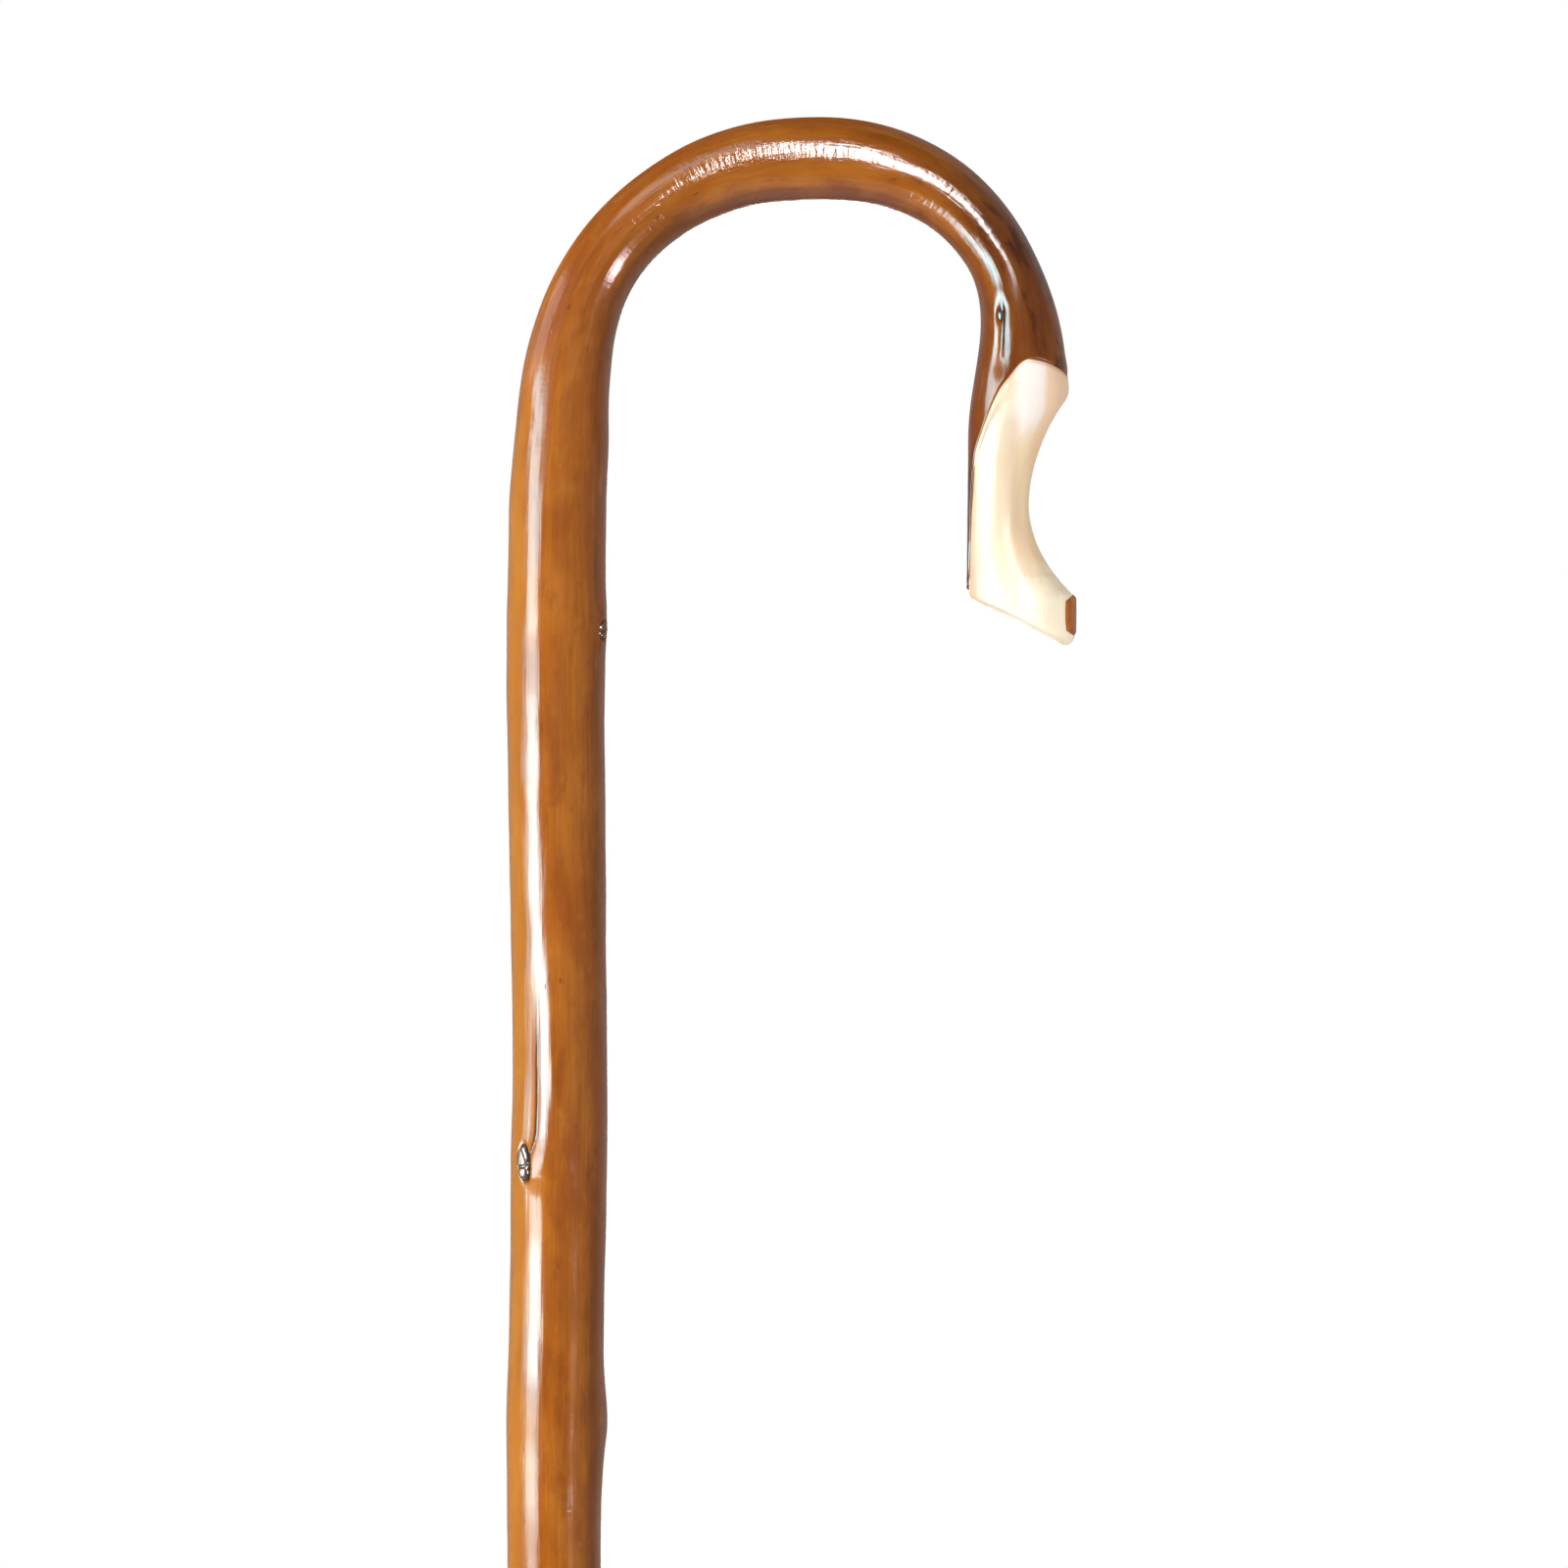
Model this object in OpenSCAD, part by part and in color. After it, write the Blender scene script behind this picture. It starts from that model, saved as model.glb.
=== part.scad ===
// One-piece shepherd's crook: a chestnut rod with its bark left on, steam bent into a bow,
// peeled and carved at the nose, trimmed at its side shoots and shod with a pinned ferrule.
// Millimetres. The foot stands on the origin, +Z runs up the shaft and the nose hangs at +X.

/* [Overall] */
// Height from the ground to the top of the bow
overall_height = 1220; // [1100:10:1500]

/* [Shaft] */
// Diameter over the bark just below the bow
shaft_d = 26; // [23:0.2:30]
// Diameter over the bark at the grip
grip_d = 25; // [22:0.2:30]
// Distance of the grip's middle below the bow
grip_drop = 190; // [120:10:300]
// Distance below the bow at which the shaft has its full diameter
full_drop = 24; // [5:1:60]
// Diameter over the bark where the shaft meets the ferrule
foot_d = 22; // [19:0.2:26]
// Thickness of the bark
bark_t = 1.2; // [0.8:0.1:1.8]
// How far the shaft's centre line strays to each side
wander = 0.9; // [0:0.1:2]

/* [Bow] */
// Clear gap between the shaft and the nose
mouth_gap = 94.5; // [70:0.5:130]
// Distance from the shaft's axis to the highest point of the bow
peak_reach = 69; // [58:0.5:80]
// Rise of the bow on the shaft's side, from straight shaft to highest point
back_rise = 70; // [50:1:100]
// Rise of the bow on the nose's side
front_rise = 51; // [42:1:70]
// Fullness of the bow's curve on the shaft's side: 2 is an ellipse, and more is squarer
back_full = 2.15; // [1.9:0.05:2.5]
// Fullness of the bow's curve on the nose's side
front_full = 2.15; // [1.9:0.05:2.5]
// Thickness of the bow half way up the shaft's side
back_shoulder_d = 19.6; // [17:0.2:26]
// Thickness of the bow at its highest point
peak_d = 21.9; // [17:0.2:26]
// Thickness of the bow where it turns down to the nose
front_shoulder_d = 17.8; // [15:0.2:24]
// Thickness of the bow from front to back
bow_depth = 22.4; // [18:0.2:28]

/* [Nose] */
// Length of the straight nose, measured on its axis
nose_length = 70.6; // [62:0.2:90]
// Thickness of the uncarved nose over the bark
nose_d = 28.6; // [24:0.2:32]
// Thickness of the uncarved nose from front to back
nose_depth = 25; // [22:0.2:30]
// Length over which the rod swells to the full nose
nose_swell = 26; // [18:0.5:44]
// Distance of the scoop's deepest point below the top of the nose
scoop_drop = 40.5; // [34:0.5:46]
// Distance from the nose's axis to the bottom of the scoop
scoop_reach = 2; // [0:0.5:6]
// Radius of the scoop above its deepest point
scoop_upper_r = 41; // [30:1:60]
// Radius of the scoop below its deepest point
scoop_lower_r = 23; // [18:1:40]
// Thickness of the carved nose at the scoop, from front to back
waist_depth = 16; // [12:0.5:20]
// Thickness of the carved nose at its end, from front to back
toe_depth = 20; // [16:0.5:22]
// Slope of the cut across the end of the nose, in degrees
toe_slope = 24; // [10:0.5:35]
// Rounding of the cut end's edge
toe_round = 1.2; // [0.5:0.1:2]
// Distance of the peeled line below the top of the nose, on its front
peel_drop = 2.5; // [1:0.5:8]
// Length over which the knife runs in from the bark's edge
run_in = 7; // [3:0.5:12]
// Length of the strip of bark left on the toe
toe_bark_length = 11; // [5:0.5:14]

/* [Knots] */
// Diameter of the trimmed side shoots
knot_d = 4.6; // [3:0.1:6]
// Depth of a side shoot's root below the bark's surface
knot_depth = 6; // [4:0.5:8]
// How far a trimmed shoot stands proud of the bark
knot_proud = 0.5; // [0.2:0.1:1.2]
// Lean of a side shoot towards the top of the rod, in degrees
knot_lean = 38; // [0:1:45]
// Height of the swelling round a knot
knot_swell = 0.6; // [0:0.1:2]
// Length of the swelling to each side of a knot
knot_swell_length = 13; // [8:1:20]

/* [Ferrule] */
// Length of the sleeve
sleeve_length = 36; // [25:1:60]
// Wall of the sleeve, which stands a little proud of the bark
sleeve_wall = 1.5; // [1.4:0.1:2.2]
// Height of the tip below the sleeve
tip_height = 4; // [2:0.5:8]
// Length of the tip's spigot inside the sleeve
spigot_length = 7; // [4:0.5:10]
// How far the tip stands in from the sleeve's surface
tip_inset = 0.4; // [0.2:0.1:1]
// Width of the line turned in the sleeve
groove_w = 1.2; // [0.8:0.1:2]
// Depth of the line turned in the sleeve
groove_depth = 0.3; // [0.1:0.1:0.4]
// Distance of the turned line below the sleeve's rim
groove_drop = 13; // [12:0.5:18]
// Chamfer round the tip's foot
tip_chamfer = 1.2; // [0.4:0.1:2]
// Diameter of the pin's shank
pin_d = 1.6; // [1.2:0.1:2]
// Diameter of the pin's domed head
pin_head_d = 3.4; // [2.6:0.1:5]
// Height of the pin's domed head
pin_head_h = 1; // [0.6:0.1:1.5]
// Length of the pin's shank from the sleeve's surface inwards
pin_length = 8; // [5:0.5:9]
// Distance of the pin below the sleeve's rim
pin_drop = 7; // [4:0.5:9]

/* [Hidden] */
// Gap round a fitted piece, and the step from the wood up to its tenon
fit = 0.05;
tenon_step = 0.2;

// Points round each ring, and rings along each stretch of the rod
sides = 24;
shaft_rings = 5;
bow_rings = 18;
bark_rings = 7;
carved_rings = 13;
toe_rings = 3;

// Where the bow is thinnest on its way to the nose, as a share of that quarter of it
shoulder_share = 0.68;
// Turn to each side of a knot over which its swelling dies away, in degrees
knot_swell_turn = 40;

// Sections of the carved nose: 2 is an ellipse, and less gives a ridge down the front and back
ridge_power = 1.8;
bark_setback = 1.2;

// Heights and stations along the centre line, measured from the ground
tenon_d = foot_d - 2 * (bark_t + tenon_step);
sleeve_bore = tenon_d + 2 * fit;
sleeve_d = sleeve_bore + 2 * sleeve_wall;
sleeve_top = tip_height + sleeve_length;
tenon_end = tip_height + spigot_length + fit;
peak_z = overall_height - peak_d / 2;
nose_x = shaft_d / 2 + mouth_gap + nose_d / 2;
nose_reach = nose_x - peak_reach;
back_start = peak_z - back_rise;
back_end = back_start + quarter_length(peak_reach, back_rise);
front_end = back_end + quarter_length(nose_reach, front_rise);
nose_end = front_end + nose_length;
back_shoulder = (back_start + back_end) / 2;
front_shoulder = mix(back_end, front_end, shoulder_share);
shaft_full = back_start - full_drop;

// Thickness of the barked rod in the plane of the bow, and from front to back, by station
width_at = [
    [sleeve_top, foot_d], [back_start - grip_drop, grip_d], [shaft_full, shaft_d],
    [back_shoulder, back_shoulder_d],
    [back_end, peak_d], [front_shoulder, front_shoulder_d], [front_end + nose_swell, nose_d],
];
depth_at = [
    [sleeve_top, foot_d], [back_start - grip_drop, grip_d], [shaft_full, shaft_d], [back_end, bow_depth],
    [front_end + nose_swell, nose_depth],
];
// Depth of the carved nose, by station
carved_depth_at = [
    [front_end + peel_drop, nose_depth - 2 * bark_t], [front_end + scoop_drop, waist_depth],
    [nose_end, toe_depth],
];
// The peeled line: bearing from the outside of the bow, and drop below the line on the front
peel_line = [[0, 5], [60, 1], [90, 0], [104, 4], [125, 13], [148, 22], [158, 30], [165, 52]];
// Bearing past which the bark runs on to the end of the nose
bark_strip = 170;
// Points of a ring that the toe's bark reaches to each side of the outside
toe_bark_reach = 2;

// The centre line's stray in the plane of the bow and to the front, as shares of the wander
sway_at = [
    [back_start - 700, 0], [back_start - 460, 0.7], [back_start - 300, -0.75], [back_start - 164, 1],
    [back_start - 63, -0.3], [back_start - 24, 0.3], [back_start + 8, 1.9], [back_start + 55, 0],
    [back_end + 20, 0], [front_end - 6, 0.2], [front_end + 24, 0],
];
bulge_at = [
    [back_start - 800, 0], [back_start - 520, -1], [back_start - 330, 0.8], [back_start - 120, -0.6],
    [back_start + 20, 0],
];

// Side shoots: name, station on the centre line, bearing from the outside of the bow
shaft_knots = [
    ["knot_foot", 215, 310], ["knot_low", 392, 95], ["knot_middle", 540, 235], ["knot_hand", 700, 20],
    ["knot_side", back_start - 263, 196], ["knot_front", back_start - 193, 46],
    ["knot_inner", back_start - 54, 160],
];
knots = concat(shaft_knots, [["knot_nose", front_end - 9, 120]]);

// Plain helpers
function mix(a, b, t) = a + (b - a) * t;
function ease(t) = (1 - cos(180 * min(max(t, 0), 1))) / 2;
function quarter_length(a, b) = PI / 2 * sqrt((a * a + b * b) / 2);
// A table's value at a station, eased from one entry to the next
function along(table, s, i = 0) =
    s <= table[0][0] ? table[0][1]
    : i == len(table) - 1 ? table[i][1]
    : s <= table[i + 1][0]
        ? mix(table[i][1], table[i + 1][1], ease((s - table[i][0]) / (table[i + 1][0] - table[i][0])))
    : along(table, s, i + 1);
function turn_between(a, b) = abs((a - b + 540) % 360 - 180);

// Centre line of the rod: its place in X and Z, and its lean from +Z towards +X
function stray_x(s) = wander * along(sway_at, s);
function stray_y(s) = wander * along(bulge_at, s);
function back_turn(s) = 90 * (s - back_start) / (back_end - back_start);
function front_turn(s) = 90 * (s - back_end) / (front_end - back_end);
function full(x, fullness) = pow(max(x, 0), 2 / fullness);
function centre(s) =
    s < back_start ? [0, s]
    : s < back_end
        ? [peak_reach * (1 - full(cos(back_turn(s)), back_full)),
           peak_z - back_rise * (1 - full(sin(back_turn(s)), back_full))]
    : s < front_end
        ? [peak_reach + nose_reach * full(sin(front_turn(s)), front_full),
           peak_z - front_rise * (1 - full(cos(front_turn(s)), front_full))]
    : [nose_x, peak_z - front_rise - (s - front_end)];
function square_to(x, fullness) = pow(max(x, 0), 2 - 2 / fullness);
function lean(s) =
    s < back_start ? 0
    : s < back_end
        ? atan2(square_to(sin(back_turn(s)), back_full) / back_rise,
                square_to(cos(back_turn(s)), back_full) / peak_reach)
    : s < front_end
        ? 90 + atan2(square_to(sin(front_turn(s)), front_full) / nose_reach,
                     square_to(cos(front_turn(s)), front_full) / front_rise)
    : 180;
// A point that lies out from the centre line by u, away from the bow's hollow, and v to the front
function place(s, u, v) =
    let (c = centre(s), a = lean(s))
    [c[0] + stray_x(s) - u * cos(a), stray_y(s) - v, c[1] + u * sin(a)];

// The round rod at a station and bearing, taken in from the bark's surface by inset
function swelling(s, bearing) =
    max([for (k = knots) knot_swell * exp(-pow((s - k[1]) / knot_swell_length, 2)
        - pow(turn_between(bearing, k[2]) / knot_swell_turn, 2))]);
function rod(s, bearing, inset) =
    let (more = swelling(s, bearing) - inset)
    [(along(width_at, s) / 2 + more) * cos(bearing), (along(depth_at, s) / 2 + more) * sin(bearing)];

// The carved nose at a station and bearing
function scoop(s) =
    let (d = s - front_end - scoop_drop)
    scoop_reach + d * d / (2 * (d < 0 ? scoop_upper_r : scoop_lower_r));
function carved(s, bearing) =
    let (
        wood = along(width_at, s) / 2 - bark_t,
        outer = min(wood, scoop(s)),
        half = (outer + wood) / 2,
        depth = min(along(carved_depth_at, s), along(depth_at, s) - 2 * bark_t) / 2,
        power = mix(2, ridge_power, ease((s - front_end - peel_drop) / run_in)),
        c = cos(bearing),
        n = sin(bearing)
    )
    [(outer - wood) / 2 + half * sign(c) * pow(abs(c), 2 / power), depth * sign(n) * pow(abs(n), 2 / power)];

// Where the bark and the nose end at a bearing
function toe_station(bearing) =
    let (u = carved(nose_end + carved(nose_end, bearing)[0] * tan(toe_slope), bearing)[0])
    nose_end + u * tan(toe_slope);
function bark_end(bearing) =
    let (b = turn_between(bearing, 0), last = toe_station(bearing) - toe_round - bark_setback)
    b > bark_strip ? last : min(last, front_end + peel_drop + lookup(b, peel_line));
function nose_section(s, bearing) =
    let (
        w = ease((s - bark_end(bearing)) / run_in),
        bare = rod(s, bearing, bark_t),
        cut = carved(s, bearing)
    )
    mix(bare, cut, w);

// Stations of the rings, dense beside each knot on the shaft
shaft_marks = concat([sleeve_top], [for (k = shaft_knots) k[1]], [back_start]);
shaft_stations = [
    for (i = [0:len(shaft_marks) - 2], j = [0:shaft_rings - 1])
        mix(shaft_marks[i], shaft_marks[i + 1], ease(j / shaft_rings))
];
bow_stations = concat(
    [for (i = [0:bow_rings - 1]) mix(back_start, back_end, i / bow_rings)],
    [for (i = [0:bow_rings - 1]) mix(back_end, front_end, i / bow_rings)]
);
round_stations = concat(shaft_stations, bow_stations);
bearings = [for (j = [0:sides - 1]) 360 * j / sides];

function round_ring(s, inset) = [for (b = bearings) let (p = rod(s, b, inset)) place(s, p[0], p[1])];
function nose_ring(t, inset) = [
    for (b = bearings)
        let (s = mix(front_end, bark_end(b), t), p = rod(s, b, inset))
        place(s, p[0], p[1])
];
function carved_station(t, bearing) = mix(bark_end(bearing), toe_station(bearing) - toe_round, t);
function carved_ring(t) = [
    for (b = bearings)
        let (s = carved_station(t, b), p = nose_section(s, b))
        place(s, p[0], p[1])
];
// The rounded edge of the cut end, turned from the side of the nose towards its end
function toe_ring(turn) = [
    for (b = bearings)
        let (
            last = toe_station(b) - toe_round,
            p = nose_section(last, b),
            in = 1 - toe_round * (1 - cos(turn)) / norm(p)
        )
        place(last + toe_round * sin(turn), p[0] * in, p[1] * in)
];
function tenon_ring(s) = [for (b = bearings) place(s, tenon_d / 2 * cos(b), tenon_d / 2 * sin(b))];

// Rings shared by the wood and the inside of the bark, and the wood's own at its two ends
function rod_rings(inset) = concat(
    [for (s = round_stations) round_ring(s, inset)],
    [for (i = [0:bark_rings]) nose_ring(i / bark_rings, inset)]
);
tenon_rings = [tenon_ring(tenon_end), tenon_ring(sleeve_top)];
toe_share = 1 - toe_bark_length / (carved_station(1, 0) - carved_station(0, 0));
toe_steps = [for (i = [0:toe_rings]) mix(toe_share, 1, i / toe_rings)];
nose_rings = concat(
    [for (i = [1:carved_rings]) carved_ring(toe_share * i / carved_rings)],
    [for (i = [1:toe_rings]) carved_ring(toe_steps[i])],
    [for (turn = [30, 60, 90]) toe_ring(turn)]
);

// Faces between rings that start at a point, facing away from the rings' centres or towards them
function wall_faces(count, start, outward) = [
    for (i = [0:count - 2], j = [0:sides - 1])
        let (a = start + i * sides + j, b = start + i * sides + (j + 1) % sides)
        each outward
            ? [[a, b + sides, b], [a, a + sides, b + sides]]
            : [[a, b, b + sides], [a, b + sides, a + sides]]
];
function rim_faces(from, to) = [
    for (j = [0:sides - 1])
        let (k = (j + 1) % sides)
        each [[from + j, to + k, from + k], [from + j, to + j, to + k]]
];

// A solid through rings, closed by a flat first end and a fan at its last end
module solid_of(rings) {
    count = len(rings);
    last = (count - 1) * sides;
    heart = count * sides;
    middle = [for (axis = [0:2]) mean([for (p = rings[count - 1]) p[axis]])];
    polyhedron(
        points = concat([for (r = rings) each r], [middle]),
        faces = concat(
            [[for (j = [0:sides - 1]) j]],
            wall_faces(count, 0, true),
            [for (j = [0:sides - 1]) [last + (j + 1) % sides, last + j, heart]]
        )
    );
}
function mean(list) = sum(list) / len(list);
function sum(list, i = 0) = i < len(list) ? list[i] + sum(list, i + 1) : 0;

// A skin between an outer and an inner set of rings
module skin_of(outer, inner) {
    count = len(outer);
    inside = count * sides;
    polyhedron(
        points = concat([for (r = outer) each r], [for (r = inner) each r]),
        faces = concat(
            wall_faces(count, 0, true),
            wall_faces(count, inside, false),
            rim_faces(inside, 0),
            rim_faces((count - 1) * sides, inside + (count - 1) * sides)
        )
    );
}

// Puts what stands along +Z on the rod's surface at a station and bearing, leaning up the rod
module at_knot(k) {
    s = k[1];
    p = rod(s, k[2], 0);
    c = centre(s);
    translate([c[0] + stray_x(s), stray_y(s), c[1]])
        rotate([0, lean(s), 0])
            rotate([0, 0, 180 + k[2]])
                translate([norm(p), 0, 0])
                    children();
}
module shoot(radius, depth, top) {
    rotate([0, 90 - knot_lean, 0])
        translate([0, 0, -depth])
            cylinder(r = radius, h = depth + top, $fn = 32);
}
module knot_sockets() {
    for (k = knots)
        at_knot(k)
            shoot(knot_d / 2 + fit, knot_depth + fit, 2 * knot_d);
}

module wood_rod() {
    color("burlywood")
        difference() {
            solid_of(concat(tenon_rings, rod_rings(bark_t), nose_rings));
            knot_sockets();
            pin_place()
                cylinder(r = pin_d / 2 + fit, h = 2 * (pin_length + fit), center = true, $fn = 32);
        }
}

module bark() {
    color("saddlebrown")
        difference() {
            skin_of(rod_rings(0), rod_rings(bark_t));
            knot_sockets();
        }
}

// The strip of bark that the scoop left on the outside of the toe, laid on the wood's own points
module toe_bark() {
    color("saddlebrown")
        sheet_of(toe_bark_sheet(bark_t), toe_bark_sheet(0), 2 * toe_bark_reach + 1, toe_rings + 1);
}
function toe_bark_sheet(height) = [
    for (t = toe_steps, j = [-toe_bark_reach:toe_bark_reach])
        let (
            b = 360 * j / sides,
            s = carved_station(t, b),
            p = nose_section(s, b)
        )
        place(s, p[0] + height * cos(b), p[1] + height * sin(b))
];
// A thick sheet between two grids of points with the same rows and columns
module sheet_of(outer, inner, columns, rows) {
    count = columns * rows;
    edge = concat(
        [for (j = [0:columns - 1]) j],
        [for (i = [1:rows - 1]) i * columns + columns - 1],
        [for (j = [columns - 2:-1:0]) (rows - 1) * columns + j],
        [for (i = [rows - 2:-1:1]) i * columns]
    );
    polyhedron(
        points = concat(outer, inner),
        faces = concat(
            [
                for (i = [0:rows - 2], j = [0:columns - 2])
                    let (a = i * columns + j, b = a + 1, c = b + columns, d = a + columns)
                    each [
                        [a, c, b], [a, d, c],
                        [count + a, count + b, count + c], [count + a, count + c, count + d],
                    ]
            ],
            [
                for (i = [0:len(edge) - 1])
                    let (a = edge[i], b = edge[(i + 1) % len(edge)])
                    each [[a, b, count + b], [a, count + b, count + a]]
            ]
        )
    );
}

module knot(k) {
    reach = 2 * knot_d;
    color("peru")
        at_knot(k)
            intersection() {
                shoot(knot_d / 2, knot_depth, reach);
                translate([-2 * reach + knot_proud, -reach, -reach])
                    cube(2 * reach);
            }
}

module ferrule_sleeve() {
    bore_r = sleeve_bore / 2;
    wall_r = sleeve_d / 2;
    groove_top = sleeve_top - groove_drop;
    color("goldenrod")
        difference() {
            rotate_extrude($fn = 96)
                polygon([
                    [bore_r, tip_height], [wall_r, tip_height],
                    [wall_r, groove_top - groove_w], [wall_r - groove_depth, groove_top - groove_w],
                    [wall_r - groove_depth, groove_top], [wall_r, groove_top],
                    [wall_r, sleeve_top], [bore_r, sleeve_top],
                ]);
            pin_place()
                cylinder(r = pin_d / 2 + fit, h = 4 * sleeve_wall, center = true, $fn = 32);
        }
}

module ferrule_tip() {
    foot_r = sleeve_d / 2 - tip_inset;
    color("dimgray")
        rotate_extrude($fn = 96)
            polygon([
                [0, 0], [foot_r - tip_chamfer, 0], [foot_r, tip_chamfer], [foot_r, tip_height],
                [sleeve_bore / 2 - fit, tip_height], [sleeve_bore / 2 - fit, tip_height + spigot_length],
                [0, tip_height + spigot_length],
            ]);
}

// The pin's place on the front of the sleeve, with +Z pointing out of the surface
module pin_place() {
    translate([0, -sleeve_d / 2, sleeve_top - pin_drop])
        rotate([90, 0, 0])
            children();
}

module ferrule_pin() {
    dome_r = (pin_head_d * pin_head_d / 4 + pin_head_h * pin_head_h) / (2 * pin_head_h);
    color("gold")
        pin_place() {
            intersection() {
                translate([0, 0, pin_head_h - dome_r])
                    sphere(r = dome_r, $fn = 48);
                cylinder(d = pin_head_d, h = pin_head_h, $fn = 48);
            }
            translate([0, 0, -pin_length])
                cylinder(d = pin_d, h = pin_length, $fn = 32);
            translate([0, 0, -pin_length - pin_d])
                cylinder(r1 = pin_d / 8, r2 = pin_d / 2, h = pin_d, $fn = 32);
        }
}

wood_rod();
bark();
toe_bark();
ferrule_sleeve();
ferrule_tip();
ferrule_pin();
for (k = knots)
    knot(k);
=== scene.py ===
"""Dresses the shepherd's crook: bark, bare wood, trimmed shoots and ferrule, with light, floor and camera.

Sizes are in millimetres and match the solids. The meshes are scaled to metres as they are made.
"""
import math

import bpy
import numpy as np
from mathutils import Euler, Matrix, Vector


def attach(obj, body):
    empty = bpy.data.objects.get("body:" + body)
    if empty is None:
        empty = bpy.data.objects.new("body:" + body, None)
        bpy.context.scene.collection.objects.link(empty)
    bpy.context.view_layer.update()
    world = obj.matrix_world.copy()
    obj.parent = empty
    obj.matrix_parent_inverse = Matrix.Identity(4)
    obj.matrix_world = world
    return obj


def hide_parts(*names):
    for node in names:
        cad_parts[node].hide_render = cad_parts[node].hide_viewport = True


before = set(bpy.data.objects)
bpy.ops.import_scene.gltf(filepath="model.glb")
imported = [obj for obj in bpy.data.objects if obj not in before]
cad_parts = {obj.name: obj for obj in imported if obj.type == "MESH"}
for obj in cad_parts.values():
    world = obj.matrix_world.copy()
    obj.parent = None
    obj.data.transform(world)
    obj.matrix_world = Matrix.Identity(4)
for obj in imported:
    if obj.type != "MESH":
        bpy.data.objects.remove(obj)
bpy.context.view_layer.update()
scene = bpy.context.scene
rng = np.random.default_rng(11)

# Sizes of the solids
OVERALL_HEIGHT = 1220.0
SHAFT_D, GRIP_D, GRIP_DROP, FOOT_D = 26.0, 25.0, 190.0, 22.0
BARK_T, WANDER = 1.2, 0.9
MOUTH_GAP, PEAK_REACH = 94.5, 69.0
BACK_RISE, FRONT_RISE, BACK_FULL, FRONT_FULL = 70.0, 51.0, 2.15, 2.15
BACK_SHOULDER_D, PEAK_D, FRONT_SHOULDER_D, BOW_DEPTH = 19.6, 21.9, 17.8, 22.4
NOSE_LENGTH, NOSE_D, NOSE_DEPTH, NOSE_SWELL = 70.6, 28.6, 25.0, 26.0
SCOOP_DROP, SCOOP_REACH, SCOOP_UPPER_R, SCOOP_LOWER_R = 40.5, 2.0, 41.0, 23.0
WAIST_DEPTH, TOE_DEPTH, TOE_SLOPE, TOE_ROUND = 16.0, 20.0, 24.0, 1.2
PEEL_DROP, RUN_IN, RIDGE_POWER = 2.5, 7.0, 1.8
KNOT_SWELL, KNOT_SWELL_LENGTH, KNOT_SWELL_TURN = 0.6, 13.0, 40.0
TIP_HEIGHT, SLEEVE_LENGTH, SLEEVE_WALL, SPIGOT_LENGTH = 4.0, 36.0, 1.5, 7.0
TIP_INSET, TIP_CHAMFER = 0.4, 1.2
GROOVE_W, GROOVE_DEPTH, GROOVE_DROP = 1.2, 0.3, 13.0
PIN_HEAD_D, PIN_HEAD_H, PIN_DROP = 3.4, 1.0, 7.0
FIT, TENON_STEP, BARK_SETBACK = 0.05, 0.2, 1.2


def ease(t):
    """A soft step from 0 to 1."""
    return (1 - np.cos(np.pi * np.clip(t, 0, 1))) / 2


def quarter_length(a, b):
    """Length of a quarter of an ellipse, nearly."""
    return math.pi / 2 * math.sqrt((a * a + b * b) / 2)


# Stations along the centre line, measured from the ground, and values at them
TENON_D = FOOT_D - 2 * (BARK_T + TENON_STEP)
SLEEVE_D = TENON_D + 2 * FIT + 2 * SLEEVE_WALL
SLEEVE_TOP = TIP_HEIGHT + SLEEVE_LENGTH
PEAK_Z = OVERALL_HEIGHT - PEAK_D / 2
NOSE_X = SHAFT_D / 2 + MOUTH_GAP + NOSE_D / 2
NOSE_REACH = NOSE_X - PEAK_REACH
BACK_START = PEAK_Z - BACK_RISE
BACK_END = BACK_START + quarter_length(PEAK_REACH, BACK_RISE)
FRONT_END = BACK_END + quarter_length(NOSE_REACH, FRONT_RISE)
NOSE_END = FRONT_END + NOSE_LENGTH
SHAFT_FULL = BACK_START - 24
WIDTH_AT = [
    (SLEEVE_TOP, FOOT_D), (BACK_START - GRIP_DROP, GRIP_D), (SHAFT_FULL, SHAFT_D),
    ((BACK_START + BACK_END) / 2, BACK_SHOULDER_D), (BACK_END, PEAK_D),
    (BACK_END + 0.68 * (FRONT_END - BACK_END), FRONT_SHOULDER_D), (FRONT_END + NOSE_SWELL, NOSE_D),
]
DEPTH_AT = [
    (SLEEVE_TOP, FOOT_D), (BACK_START - GRIP_DROP, GRIP_D), (SHAFT_FULL, SHAFT_D), (BACK_END, BOW_DEPTH),
    (FRONT_END + NOSE_SWELL, NOSE_DEPTH),
]
CARVED_DEPTH_AT = [
    (FRONT_END + PEEL_DROP, NOSE_DEPTH - 2 * BARK_T), (FRONT_END + SCOOP_DROP, WAIST_DEPTH),
    (NOSE_END, TOE_DEPTH),
]
SWAY_AT = [
    (BACK_START - 700, 0), (BACK_START - 460, 0.7), (BACK_START - 300, -0.75), (BACK_START - 164, 1),
    (BACK_START - 63, -0.3), (BACK_START - 24, 0.3), (BACK_START + 8, 1.9), (BACK_START + 55, 0),
    (BACK_END + 20, 0), (FRONT_END - 6, 0.2), (FRONT_END + 24, 0),
]
BULGE_AT = [
    (BACK_START - 800, 0), (BACK_START - 520, -1), (BACK_START - 330, 0.8), (BACK_START - 120, -0.6),
    (BACK_START + 20, 0),
]

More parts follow.
